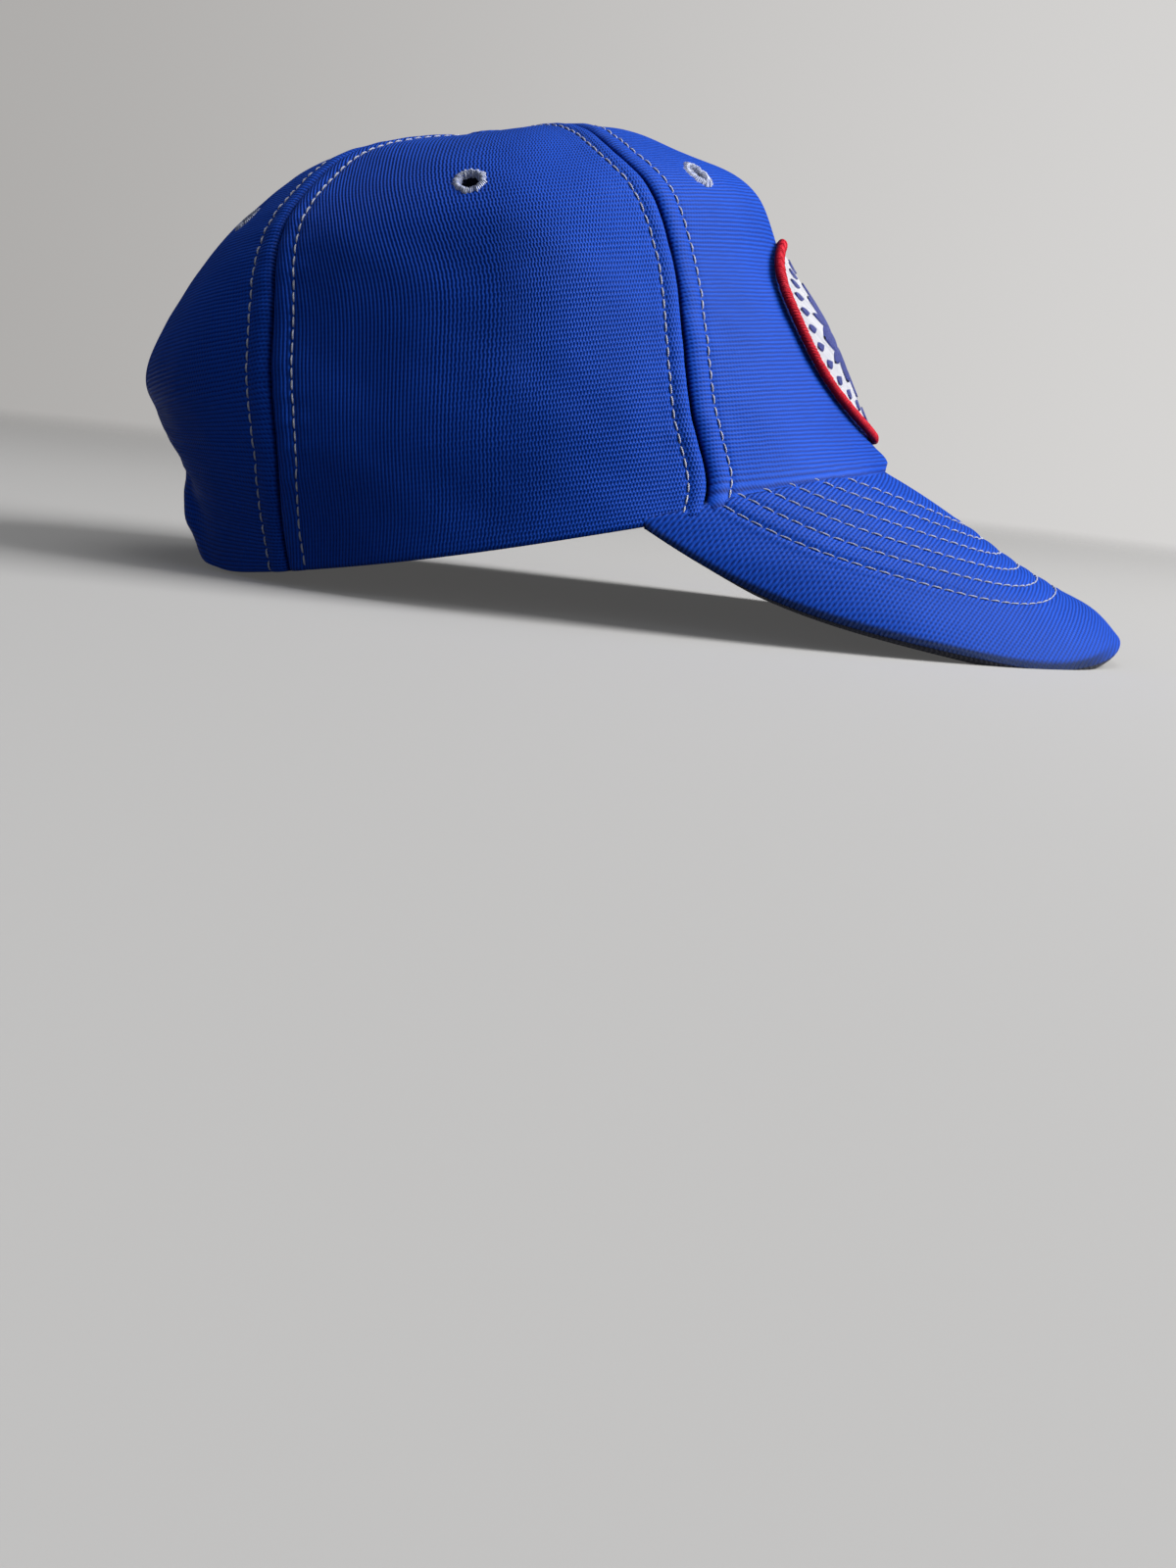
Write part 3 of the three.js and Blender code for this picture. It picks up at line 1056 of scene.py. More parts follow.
class Wardrobe:
    """Every material of the cap, made once."""

    def __init__(self) -> None:
        """Makes the materials."""
        effects = Effects()
        knit = {
            "colour": ROYAL,
            "dark": ROYAL_GAP_SHADE,
            "roughness": 0.55,
            "sheen": 0.05,
            "sheen_tint": (0.3, 0.55, 1.0),
            "gloss": 0.16,
            "gloss_tint": (0.35, 0.6, 1.0),
        }
        front = KnitFinish("knit_front", courses=1.0, wales=0.3, bump=0.17, **knit)
        side = KnitFinish("knit_side", turns_over=(-46.0, 34.0), **knit)
        back = KnitFinish("knit_back", courses=1.0, wales=0.5, **knit)
        peak = KnitFinish("knit_peak", courses=1.0, wales=0.3, course_pitch=1.15, **knit)
        inside = KnitFinish("knit_inside", NAVY, NAVY_GAP_SHADE, roughness=0.8, sheen=0.1)
        # Each thread's second colour is painted shade in the hollows between strands, and random strand
        # tone.
        white, white_shade_and_tone = srgb(246, 248, 255), srgb(205, 214, 250)
        stitch = ThreadFinish("sewing_thread", white, white_shade_and_tone, pitch=0.5, slant=0.35)
        lilac, lilac_shade_and_tone = srgb(238, 241, 252), srgb(120, 140, 205)
        eyelet = ThreadFinish("eyelet_thread", lilac, lilac_shade_and_tone, pitch=0.5)
        scarlet, scarlet_shade_and_tone = srgb(242, 22, 54), srgb(196, 10, 38)
        red = ThreadFinish("border_thread", scarlet, scarlet_shade_and_tone, pitch=0.45, gloss=0.2)
        indigo, indigo_shade_and_tone = srgb(40, 64, 176), srgb(20, 30, 100)
        blue = ThreadFinish("satin_thread", indigo, indigo_shade_and_tone, pitch=0.45, slant=0.0, sheen=0.3)
        chalk, chalk_shade_and_tone = srgb(238, 238, 242), srgb(190, 192, 206)
        twill = ThreadFinish("badge_twill", chalk, chalk_shade_and_tone, pitch=0.7, slant=1.0, roughness=0.8)
        sea, sea_dark = srgb(14, 40, 116), srgb(10, 30, 96)
        plastic = PlasticFinish("strap_plastic", sea, sea_dark, roughness=0.42, bump=0.05)
        cloths = (front, side, back, peak, inside)
        threads = (stitch, eyelet, red, blue, twill)
        self.front, self.side, self.back, self.peak, self.inside = (c.build(effects) for c in cloths)
        self.stitch, self.eyelet, self.red, self.blue, self.twill = (t.build(effects) for t in threads)
        self.plastic = plastic.build(effects)


# Crown


class EdgeColumn(NamedTuple):
    """One column of points beside an edge: how far in, and the lift of the cloth's two faces."""

    inward: float
    outer: float
    inner: float


def hem_columns(wall: float, steps: int = 6) -> list[EdgeColumn]:
    """Rounds a folded edge.

    Args:
        wall: Thickness of the cloth.
        steps: Number of columns round the fold.

    Returns:
        Columns from the fold's end to where the cloth is flat.
    """
    half = wall / 2
    turns = np.linspace(math.pi / 2, 0, steps)
    columns = []
    for turn in turns:
        drop = half * (1 - math.cos(turn))
        columns.append(EdgeColumn(half * (1 - math.sin(turn)), -drop, -wall + drop))
    return columns


WALL = CrownShape.wall
STITCH_LINE = 6.0
SEAM_BAND = (
    (-0.08, -2.05),
    (0.22, -1.95),
    (0.36, -1.35),
    (0.42, -0.8),
    (0.5, -0.34),
    (0.66, 0.02),
    (0.95, 0.26),
    (1.5, 0.56),
    (2.2, 0.74),
    (3.2, 0.78),
    (4.2, 0.64),
    (5.0, 0.4),
    (5.6, 0.1),
    (STITCH_LINE, -0.06),
    (6.4, -0.02),
    (6.9, 0.12),
    (7.8, 0.16),
    (9.2, 0.08),
    (11.0, 0.0),
)
SEAM_PROFILE = tuple(EdgeColumn(inward, lift, -WALL) for inward, lift in SEAM_BAND)
HEM_BAND = ((2.0, 0.1), (3.0, 0.2), (4.2, 0.25), (5.2, 0.2), (6.0, 0.1), (6.6, 0.05))
HEM_PROFILE = tuple(
    hem_columns(WALL)
    + [EdgeColumn(inward, lift, -WALL) for inward, lift in HEM_BAND]
    + [EdgeColumn(inward, 0.0, -WALL) for inward in (7.0, 7.6, 8.2, 9.0, 9.6, 10.2, 11.0)]
)
STITCH_COLUMN = [column.inward for column in SEAM_PROFILE].index(STITCH_LINE)


class Dent(NamedTuple):
    """A stretch of cloth drawn in or puffed out: how deep, how high up and over what height."""

    deep: float
    high: float
    spread: float


EDGE_DENTS = (Dent(5.4, 33.0, 17.0), Dent(2.2, 23.0, 8.0))
EDGE_REACH = 14.0
ABOVE_OPENING = Dent(4.9, 44.0, 9.0)
ABOVE_DEGREES = 30.0
FRONT_BULGE = Dent(2.7, 4.0, 5.2)
FRONT_BULGE_BELOW = 2.2


@dataclass
class Panel:
    """One cloth panel of the crown between two edges."""

    name: str
    crown: CrownShape
    start: Array
    end: Array
    end_hem: Array
    eyelets: list[tuple[float, float]]
    mirrored: bool
    seed: int
    rolled: bool = False
    # Strength of the painted seam shade at the start and end edges.
    seam_shade: tuple[float, float] = (1.0, 1.0)
    row_step: float = 1.25
    column_step: float = 2.0
    hole: float = 3.2
    sink: float = 0.5
    sink_reach: float = 5.5
    corner_rise: float = 2.2
    corner_wide: float = 9.0
    corner_high: float = 12.0
    band_share: float = 0.42
    least_squeeze: float = 0.45
    soft_from: float = 25.0
    # Millimetres from an edge over which the painted seam shade fades out.
    groove: tuple[float, float] = (0.3, 0.75)
    outer: Array = field(init=False)
    inner: Array = field(init=False)
    cloth: Array = field(init=False)
    squeeze: Array = field(init=False)
    hem_share: Array = field(init=False)

    def lay_out(self) -> None:
        """Works out the grids of points of both faces."""
        lengths = path_lengths(self.crown.base(*((self.start + self.end) / 2).T))
        total = lengths[-1]
        folds = hem_columns(self.crown.wall)
        fold = [column.inward for column in folds]
        count = int((total - fold[-1]) / self.row_step)
        heights = np.concatenate([fold, np.linspace(fold[-1], total, count + 1)[1:]])
        start = sample_line(lengths, self.start, heights)
        end = sample_line(lengths, self.end, heights)
        hem = np.interp(heights, lengths, self.end_hem)
        self.hem_share = hem
        shares = np.linspace(0, 1, 25)[None, :, None]
        lines = start[:, None] + (end - start)[:, None] * shares
        points = self.crown.base(*np.moveaxis(lines, -1, 0))
        widths = np.linalg.norm(np.diff(points, axis=1), axis=-1).sum(1)
        place, lift, depth, self.squeeze = self.columns(widths, hem)
        along = start[:, None] + (end - start)[:, None] * place[..., None]
        angle, share = along[..., 0], along[..., 1]
        across = (place - 0.5) * widths[:, None]
        up = np.broadcast_to(heights[:, None], across.shape)
        from_start = across + widths[:, None] / 2
        from_end = widths[:, None] / 2 - across + 10 * hem[:, None]
        # Painted shade along the seam grooves at both edges, kept as the cloth's third number.
        dark = self.seam_shade[0] * (1 - smoothstep(*self.groove, from_start))
        dark = dark + self.seam_shade[1] * (1 - smoothstep(*self.groove, from_end))
        self.cloth = np.stack([across, up, dark], -1)
        fold_out = np.interp(heights, fold, [column.outer for column in folds])
        fold_in = np.interp(heights, fold, [column.inner for column in folds])
        relief = self.relief(across, up, widths, hem, heights)
        raised = np.zeros((*across.shape, 3))
        if self.end_hem.max() > 0.5:
            relief = relief - self.drawn_in(angle, share)
            corner = bell(widths[:, None] / 2 - across, 0, self.corner_wide)
            corner = corner * bell(up, 0, self.corner_high)
            raised[..., 2] = self.corner_rise * corner
        inner = depth + (fold_in + self.crown.wall)[:, None]
        inner = np.minimum(inner, -0.001)
        outer = np.maximum(lift + fold_out[:, None], inner)
        sink = self.eyelet_sink(angle, share)
        self.outer = self.crown.cloth(angle, share, outer + relief - sink) + raised
        self.inner = self.crown.cloth(angle, share, inner + relief - sink) + raised
        if self.mirrored:
            self.outer = self.outer * [1, -1, 1]
            self.inner = self.inner * [1, -1, 1]

    def columns(self, widths: Array, hem: Array) -> tuple[Array, Array, Array, Array]:
        """Places the columns of every row.

        Args:
            widths: Width of each row in millimetres.
            hem: How far each row ends in a hem and not a seam, 0 to 1.

        Returns:
            Column places from 0 to 1, outer lifts, inner lifts and how far the bands are squeezed.
        """
        seam = np.array(SEAM_PROFILE)
        edge = seam + (np.array(HEM_PROFILE) - seam) * hem[:, None, None]
        squeeze = np.minimum(1, self.band_share * widths / seam[-1, 0])[:, None]
        first = seam[None, :, 0] * squeeze / widths[:, None]
        last = 1 - edge[:, ::-1, 0] * squeeze / widths[:, None]
        middle_count = max(4, int((widths.max() - 2 * seam[-1, 0]) / self.column_step))
        steps = np.linspace(0, 1, middle_count + 1)[1:-1]
        middle = first[:, -1:] + (last[:, :1] - first[:, -1:]) * steps
        place = np.concatenate([first, middle, last], 1)
        flat = np.zeros(middle.shape)
        first_lift = np.broadcast_to(seam[None, :, 1], first.shape) * squeeze
        last_lift = edge[:, ::-1, 1] * np.where(hem[:, None] > 0.5, 1.0, squeeze)
        first_depth = np.broadcast_to(seam[None, :, 2], first.shape)
        lift = np.concatenate([first_lift, flat, last_lift], 1)
        depth = np.concatenate([first_depth, flat - self.crown.wall, edge[:, ::-1, 2]], 1)
        return place, lift, depth, squeeze[:, 0]

    def relief(self, across: Array, up: Array, widths: Array, hem: Array, heights: Array) -> Array:
        """Gives the cloth's soft waves and the puckers along its seams.

        Args:
            across: Millimetres across from the middle.
            up: Millimetres up.
            widths: Width of each row.
            hem: How far each row ends in a hem.
            heights: Height of each row.

        Returns:
            Lift in millimetres.
        """
        from_start = across + widths[:, None] / 2
        from_end = widths[:, None] / 2 - across
        inside = smoothstep(0, self.soft_from, np.minimum(from_start, from_end))
        inside = inside * smoothstep(0, self.soft_from, up)
        soft = Waves(self.seed, 55, 0.35).at(across, up) * inside
        fine = Waves(self.seed + 1, 14, 0.07).at(across, up) * smoothstep(0, 8, up)
        near_seam = bell(from_start, 5, 5) + bell(from_end, 5, 5)
        pucker = Waves(self.seed + 2, 9, 0.12).at(np.zeros(across.shape), up) * near_seam
        gathers = Waves(self.seed + 3, 17, 1.5, 3).at(np.zeros(across.shape), up)
        at_hem = bell(from_end, 0, 7) * hem[:, None] * smoothstep(4, 14, heights)[:, None]
        drawn = sum(dent.deep * bell(up, dent.high, dent.spread) for dent in EDGE_DENTS)
        drawn = drawn * bell(from_end, 0, EDGE_REACH) * hem[:, None]
        fade = self.squeeze[:, None]
        roll = 0.0
        if self.rolled:
            spread = np.where(up < FRONT_BULGE.high, FRONT_BULGE_BELOW, FRONT_BULGE.spread)
            middle = np.cos(math.pi * across / widths[:, None]) ** 2
            roll = FRONT_BULGE.deep * bell(up, FRONT_BULGE.high, spread) * middle
        return (soft + fine + pucker) * fade + gathers * at_hem + roll - drawn

    def drawn_in(self, angle: Array, share: Array) -> Array:
        """Gives how far the cloth above the opening is drawn in at the back.

        Args:
            angle: Degrees of the grid.
            share: Shares of the grid.

        Returns:
            Depth in millimetres.
        """
        high = self.crown.base(angle, share)[..., 2]
        dent = ABOVE_OPENING
        return dent.deep * bell(high, dent.high, dent.spread) * bell(180 - angle, 0, ABOVE_DEGREES)

    def eyelet_sink(self, angle: Array, share: Array) -> Array:
        """Gives how far the cloth is drawn in round its eyelets.

        Args:
            angle: Degrees of the grid.
            share: Shares of the grid.

        Returns:
            Depth in millimetres.
        """
        points = self.crown.base(angle, share)
        sink = np.zeros(angle.shape)
        for place in self.eyelets:
            away = np.linalg.norm(points - self.crown.base(*place), axis=-1)
            sink += self.sink * bell(away, 0, self.sink_reach)
        return sink

    def holes(self) -> Array:
        """Finds the quads that stay when the eyelets are punched.

        Returns:
            True for quads to keep, as rows and columns.
        """
        middle = (self.outer[:-1, :-1] + self.outer[1:, 1:]) / 2
        keep = np.ones(middle.shape[:2], bool)
        for place in self.eyelets:
            centre = self.crown.base(*place)
            centre = centre * [1, -1, 1] if self.mirrored else centre
            keep &= np.linalg.norm(middle - centre, axis=-1) > self.hole
        return keep

    def normals(self) -> Array:
        """Gives outward directions of the outer grid.

        Returns:
            Unit vectors.
        """
        across = np.gradient(self.outer, axis=1)
        up = np.gradient(self.outer, axis=0)
        sign = -1 if self.mirrored else 1
        return unit(np.cross(across, up)) * sign

    def build(self, outside: bpy.types.Material, inside: bpy.types.Material) -> bpy.types.Object:
        """Makes the panel.

        Args:
            outside: Material of the outer face.
            inside: Material of the inner face.

        Returns:
            The piece, which stands for the panel's solid.
        """
        mesh = Mesh()
        closed_sheet(mesh, self.outer, self.inner, self.cloth, self.holes())
        return mesh.build(self.name, [outside, inside])

    def stitch_paths(self) -> list[tuple[Array, Array]]:
        """Gives the topstitching beside the panel's two seams.

        Returns:
            Pairs of path points and outward directions.
        """
        normals = self.normals()
        wide = (self.squeeze > self.least_squeeze) & (np.arange(len(self.squeeze)) > 4)
        seamed = wide & (self.hem_share < 0.3)
        last = -1 - STITCH_COLUMN
        return [
            (self.outer[wide, STITCH_COLUMN], normals[wide, STITCH_COLUMN]),
            (self.outer[seamed, last], normals[seamed, last]),
        ]


@dataclass
class Eyelet:
    """A round hole overcast with thread."""

    hole: float = 2.75
    outside: float = 4.9
    threads: int = 46
    samples: int = 6

    def add(self, mesh: Mesh, centre: Array, normal: Array, seed: int, closed: float = 0.0) -> None:
        """Adds one eyelet.

        Args:
            mesh: Mesh to add to.
            centre: Middle of the hole on the cloth.
            normal: Outward direction there.
            seed: Seed of the threads' unevenness.
            closed: How far the hole is drawn together, 0 to 1.
        """
        count = self.threads * self.samples
        turn = np.arange(count) * 2 * math.pi / count
        draw = np.random.default_rng(seed)
        ends = np.repeat(draw.uniform(-0.6, 0.3, self.threads), self.samples)
        ragged = np.repeat(draw.uniform(-0.35, 0.25, self.threads), self.samples)[:, None]
        hole = (self.hole + ragged) * (1 - closed * np.abs(np.cos(turn))[:, None])
        proud = np.repeat(draw.uniform(-0.06, 0.1, self.threads), self.samples)
        ridge = np.abs(np.sin(turn * self.threads / 2)) ** 0.7
        share = np.array([0, 0.1, 0.22, 0.36, 0.5, 0.64, 0.78, 0.9, 1.0])
        high = np.array([-1.1, -0.5, 0.05, 0.42, 0.55, 0.5, 0.34, 0.08, -0.35])
        radius = hole + (self.outside + ends[:, None] - hole) * share**1.3
        lift = high + (0.22 * ridge + proud - 0.11)[:, None] * np.sin(math.pi * share) ** 0.5
        first = unit(np.cross(normal, [0.0, 0.0, 1.0]))
        second = np.cross(normal, first)
        ring = np.cos(turn)[:, None] * first + np.sin(turn)[:, None] * second
        points = centre + ring[:, None, :] * radius[..., None] + normal * lift[..., None]
        thread = np.repeat(np.arange(count)[:, None] / self.samples * 0.5, len(share), 1)
        cloth = np.stack([radius, thread], -1)
        mesh.add_grid(points.transpose(1, 0, 2), cloth.transpose(1, 0, 2), closed=True)


class HemWave(NamedTuple):
    """A wave along the opening's edge: degrees, millimetres per radian and phase."""

    degrees: float
    length: float
    phase: float


HEM_WAVES = (HemWave(0.45, 1.7, 0.0), HemWave(0.12, 0.93, 1.0))


@dataclass
class Crown:
    """The five panels with their topstitching and eyelets."""

    shape: CrownShape
    wardrobe: Wardrobe
    corner_round: float = 5.5
    degrees_per_mm: float = 0.55
    panels: list[tuple[Panel, bpy.types.Material]] = field(init=False)

    def __post_init__(self) -> None:
        """Lays out the panels."""
        self.panels = self.lay_out()

    def lay_out(self) -> list[tuple[Panel, bpy.types.Material]]:
        """Makes the panels' grids.

        Returns:
            Panels with the materials of their outer faces.
        """
        shares = np.linspace(0, self.shape.top, 240)
        front = self.shape.seam("front_seam", shares)
        rear = self.shape.seam("rear_seam", shares)
        other_front = front * [-1, 1]
        centre, hem = self.back_edge(len(shares))
        seamed = np.zeros(len(shares))
        places = {eyelet.panel: (eyelet.angle, eyelet.share) for eyelet in EYELETS}
        angle, share = places[PanelKind.FRONT]
        both = [(angle, share), (-angle, share)]
        name = "front_panel_cloth"
        fronts = Panel(name, self.shape, other_front, front, seamed, both, False, FRONT_SEED)
        fronts.rolled = True
        panels = [(fronts, self.wardrobe.front)]
        for side in Side:
            mirrored = side is Side.RIGHT
            word = side.name.lower()
            seed = SIDE_SEED + 10 * side.value
            name = f"side_panel_{word}_cloth"
            holes = [places[PanelKind.SIDE]]
            sides = Panel(name, self.shape, front, rear, seamed, holes, mirrored, seed)
            # Painted seam shade is weaker at the rear seams.
            sides.seam_shade = (1.0, 0.55)
            name = f"back_panel_{word}_cloth"
            holes = [places[PanelKind.BACK]]
            backs = Panel(name, self.shape, rear, centre, hem, holes, mirrored, seed + 5)
            backs.seam_shade = (0.55, 0.55)
            panels.append((sides, self.wardrobe.side))
            panels.append((backs, self.wardrobe.back))
        for panel, _ in panels:
            panel.lay_out()
        return panels

    def back_edge(self, count: int) -> tuple[Array, Array]:
        """Follows the back panel's inner edge: up the opening, then up the seam in the middle.

        Args:
            count: Number of points.

        Returns:
            Rows of angle and share, and how far each row is hemmed.
        """
        arch = ArchShape().edge(self.shape)
        shares = np.linspace(arch[-1, 1], self.shape.top, 120)[1:]
        seam = np.stack([np.full(len(shares), 180.0), shares], 1)
        edge = np.concatenate([arch, seam])
        lengths = path_lengths(self.shape.base(*edge.T))
        arch_length = lengths[len(arch) - 1]
        wanted = np.linspace(0, lengths[-1], count)
        hem = 1 - smoothstep(arch_length - 2, arch_length + 5, wanted)
        line = sample_line(lengths, edge, wanted)
        inner = smoothstep(8, 16, wanted) * (1 - smoothstep(arch_length - 22, arch_length - 10, wanted))
        waves = sum(wave.degrees * np.sin(wanted / wave.length + wave.phase) for wave in HEM_WAVES)
        line[:, 0] += inner * waves
        turned = np.clip(1 - wanted / self.corner_round, 0, 1)
        line[:, 0] -= self.corner_round * (1 - np.sqrt(1 - turned**2)) * self.degrees_per_mm
        return line, hem

    def build(self) -> list[bpy.types.Object]:
        """Makes the crown's pieces.

        Returns:
            The pieces.
        """
        pieces = []
        stitches = Mesh()
        stitching = Stitching()
        seed = CROWN_STITCH_SEED
        for panel, material in self.panels:
            piece = panel.build(material, self.wardrobe.inside)
            attach(piece, Slot.KNIT, panel.name.removesuffix("_cloth"))
            pieces.append(piece)
            for path, normals in panel.stitch_paths():
                seed += 1
                stitching.add_row(stitches, path, normals, seed)
        thread = stitches.build("crown_topstitching", [self.wardrobe.stitch], weld=0)
        attach(thread, Slot.KNIT)
        pieces.append(thread)
        pieces.append(self.eyelets())
        return pieces

    def eyelets(self) -> bpy.types.Object:
        """Makes the six eyelets' thread.

        Returns:
            One piece with all six.
        """
        mesh = Mesh()
        eyelet = Eyelet()
        for number, place in enumerate(EYELETS):
            for side in Side:
                flip = np.array([1, side.value, 1])
                spot = np.array(place.angle), np.array(place.share)
                centre = self.shape.cloth(*spot, np.array(EYELET_LIFT)) * flip
                normal = self.shape.normal(*spot) * flip
                eyelet.add(mesh, centre, normal, EYELET_SEED + 2 * number + side.value, place.closed)
        piece = mesh.build("eyelet_thread", [self.wardrobe.eyelet])
        attach(piece, Slot.KNIT)
        return piece


# Peak


SEAM_RISE = ((0.0, 0.3, 0.55, 0.8, 1.0), (2.2, 3.8, 4.4, 3.2, 0.7))


@dataclass
class Peak:
    """The quilted peak."""

    shape: PeakShape
    wardrobe: Wardrobe
    columns: int = 260
    rows: int = 78
    crowding: float = 1.9
    first_row: tuple[float, float] = (16.4, 24.8)
    row_spacing: tuple[float, float] = (5.6, 6.45)
    front_wide: float = 48.0
    row_centre: float = 20.0
    rib_sweep: float = 0.0022
    tip_puff: float = 2.2
    tip_at: tuple[float, float] = (0.89, 0.13)
    tip_short: float = 0.022
    tip_wide: float = 0.35
    middle_dip: float = 1.2
    dip_at: tuple[float, float] = (0.53, 0.2)
    ahead_wide: float = 36.0
    rise_reach: float = 0.34
    blunt_wide: float = 30.0
    # Strength of the painted shade along the peak's edge and along its seam with the crown.
    shade_band_strength: float = 0.88
    edge_turn: tuple[float, float] = (1.3, 0.4)
    roll: float = 2.0
    row_count: int = 6
    puff: float = 0.32
    dent: float = 0.34
    dent_wide: float = 0.75
    tuck: tuple[float, float, float] = (-1.6, 0.0, 0.1)

    def grid(self) -> tuple[Array, Array]:
        """Places the columns and rows.

        Returns:
            Places across and out on the grid.
        """
        even = np.linspace(-1, 1, self.columns + 1)
        across = np.sign(even) * (1 - (1 - np.abs(even)) ** self.crowding)
        out = np.linspace(0, 1, self.rows + 1)
        return np.meshgrid(across, out)

    def seam_rise(self, across: Array) -> Array:
        """Gives how far the cloth is sewn up the crown at the seam.

        Args:
            across: Corner to corner, -1 to 1.

        Returns:
            Steps up the crown's surface in millimetres.
        """
        rise = np.interp(np.abs(across), *SEAM_RISE)
        shares = np.linspace(0, 0.14, 40)
        steps = []
        for angle, high in zip(across * self.shape.corner, rise):
            line = self.shape.crown.base(np.full(shares.shape, angle), shares)
            steps.append(sample_line(line[:, 2], line, np.array([high]))[0] - line[0])
        return np.array(steps)

    def edge_distance(self, points: Array) -> Array:
        """Measures from the outer edge.

        Args:
            points: Grid of points of the top face.

        Returns:
            Distance of each point from the edge in millimetres.
        """
        edge = points[-1]
        away = [np.linalg.norm(row[:, None, :] - edge[None], axis=-1).min(1) for row in points]
        return np.stack(away)

    def row_place(self, points: Array, distance: Array) -> tuple[Array, Array]:
        """Counts rows of stitches in from the edge; they lie closer at the sides than at the front.

        Args:
            points: Grid of points of the top face.
            distance: Distance from the outer edge.

        Returns:
            The number of the row, with its fraction, and the spacing of rows there.
        """
        front = bell(points[..., 1], 0, self.front_wide)
        first = self.first_row[0] + (self.first_row[1] - self.first_row[0]) * front
        spacing = self.row_spacing[0] + (self.row_spacing[1] - self.row_spacing[0]) * front
        return (distance - first) / spacing, spacing

    def quilting(self, place: Array, spacing: Array) -> Array:
        """Gives the puffed cloth between the rows of stitches.

        Args:
            place: Number of the row of stitches, with its fraction.
            spacing: Spacing of the rows in millimetres.

        Returns:
            Lift in millimetres.
        """
        nearest = np.clip(np.round(place), 0, self.row_count - 1)
        from_row = np.abs(place - nearest) * spacing
        beyond = smoothstep(self.row_count - 0.9, self.row_count - 0.4, place)
        sewn = smoothstep(-0.6, -0.1, place) * (1 - beyond)
        puff = self.puff * np.sin(np.clip(from_row / spacing, 0, 0.5) * math.pi) ** 0.8
        dent = self.dent * bell(from_row, 0, self.dent_wide)
        return puff * sewn - dent

    def build(self) -> list[bpy.types.Object]:
        """Makes the peak and its stitches.

        Returns:
            The pieces.
        """
        across, out = self.grid()
        normals = self.shape.normal(across, out)
        shorter = 1 - self.tip_short * bell(across, 0, self.tip_wide)
        flat = self.shape.top(across, out * shorter)
        near_seam = 1 - smoothstep(0, self.rise_reach, out)
        flat = flat + self.seam_rise(across[0]) * near_seam[..., None]
        distance = self.edge_distance(flat)
        up = out * self.shape.reach * 1.3
        width = flat[..., 1]
        waves = Waves(PEAK_SEED, 40, 0.18).at(width, up) * smoothstep(0, 12, distance)
        place, spacing = self.row_place(flat, distance)
        lift = (self.quilting(place, spacing) + waves) * smoothstep(0, 0.04, out)
        ahead = bell(width, 0, self.ahead_wide)
        lift += self.tip_puff * bell(out, *self.tip_at) * ahead
        lift -= self.middle_dip * bell(out, *self.dip_at) * ahead
        top = flat + normals * lift[..., None]
        thick = self.shape.thick * (0.3 + 0.7 * smoothstep(0, 0.03, 1 - np.abs(across)))
        under = top - normals * (thick - 0.3)[..., None]
        top[0] += self.tuck
        under[0] += self.tuck
        # Painted shade along the edge at the sides and along the seam, carried on over the rolled edge.
        shade_band = (1 - smoothstep(0.9, 2.3, distance)) * smoothstep(20, 44, np.abs(width))
        shade_band = np.maximum(shade_band, 1 - smoothstep(0.5, 2.0, up))
        top, under = self.round_edge(top, under, normals)
        rolled = np.repeat(shade_band[-1:], len(top) - len(shade_band), 0)
        shade_band = self.shade_band_strength * np.concatenate([shade_band, rolled])
        cloth = np.stack([top[..., 1], self.rib_place(top), shade_band], -1)
        mesh = Mesh()
        closed_sheet(mesh, top, under, cloth)
        peak = mesh.build("peak_cloth", [self.wardrobe.peak, self.wardrobe.inside])
        attach(peak, Slot.KNIT, "peak")
        stitches = Mesh()
        stitching = Stitching(length=3.8, pitch=4.2, radius=0.23)
        surface = unit(np.cross(np.gradient(top, axis=0), np.gradient(top, axis=1)))
        for number in range(self.row_count):
            path, directions = self.stitch_row(number, top, surface, place)
            stitching.add_row(stitches, path, directions, PEAK_STITCH_SEED + number)
        thread = stitches.build("peak_topstitching", [self.wardrobe.stitch], weld=0)
        attach(thread, Slot.KNIT)
        return [peak, thread]

    def rib_place(self, points: Array) -> Array:
        """Measures forward down the peak's slope, so that ribs run from side to side.

        Args:
            points: Grid of points of the top face.

        Returns:
            Millimetres forward.
        """
        slope = math.radians(self.shape.slope)
        forward = points[..., 0] * math.cos(slope) - points[..., 2] * math.sin(slope)
        return forward + self.rib_sweep * points[..., 1] ** 2

    def round_edge(self, top: Array, under: Array, normals: Array) -> tuple[Array, Array]:
        """Rolls the outer edge round, with the seam of the two cloths on it.

        Args:
            top: Grid of the top face.
            under: Grid of the under face.
            normals: Upward directions.

        Returns:
            The two grids with their rolled rows.
        """
        half = np.linalg.norm(top[-1] - under[-1], axis=-1) / 2
        outward = unit(top[-1] - top[-3])
        middle = (top[-1] + under[-1]) / 2
        at_side = smoothstep(18, 46, np.abs(top[-1][:, 1]))
        seam = self.edge_turn[0] + (self.edge_turn[1] - self.edge_turn[0]) * at_side
        blunt = 1 - 0.5 * bell(top[-1][:, 1], 0, self.blunt_wide)
        share = np.linspace(0, 1, 9)[:, None]
        faces = []
        for face, first in ((top, 0.12), (under, math.pi - 0.12)):
            turn = first + (seam - first) * share
            reach = (self.roll * blunt * np.sin(turn) ** 0.6 - 0.25 * (share == 1)) * half / half.max()
            rise = half * np.sign(np.cos(turn)) * np.abs(np.cos(turn)) ** 0.6
            rows = middle + outward * reach[..., None] + normals[-1] * rise[..., None]
            faces.append(np.concatenate([face[:-1], rows]))
        return faces[0], faces[1]

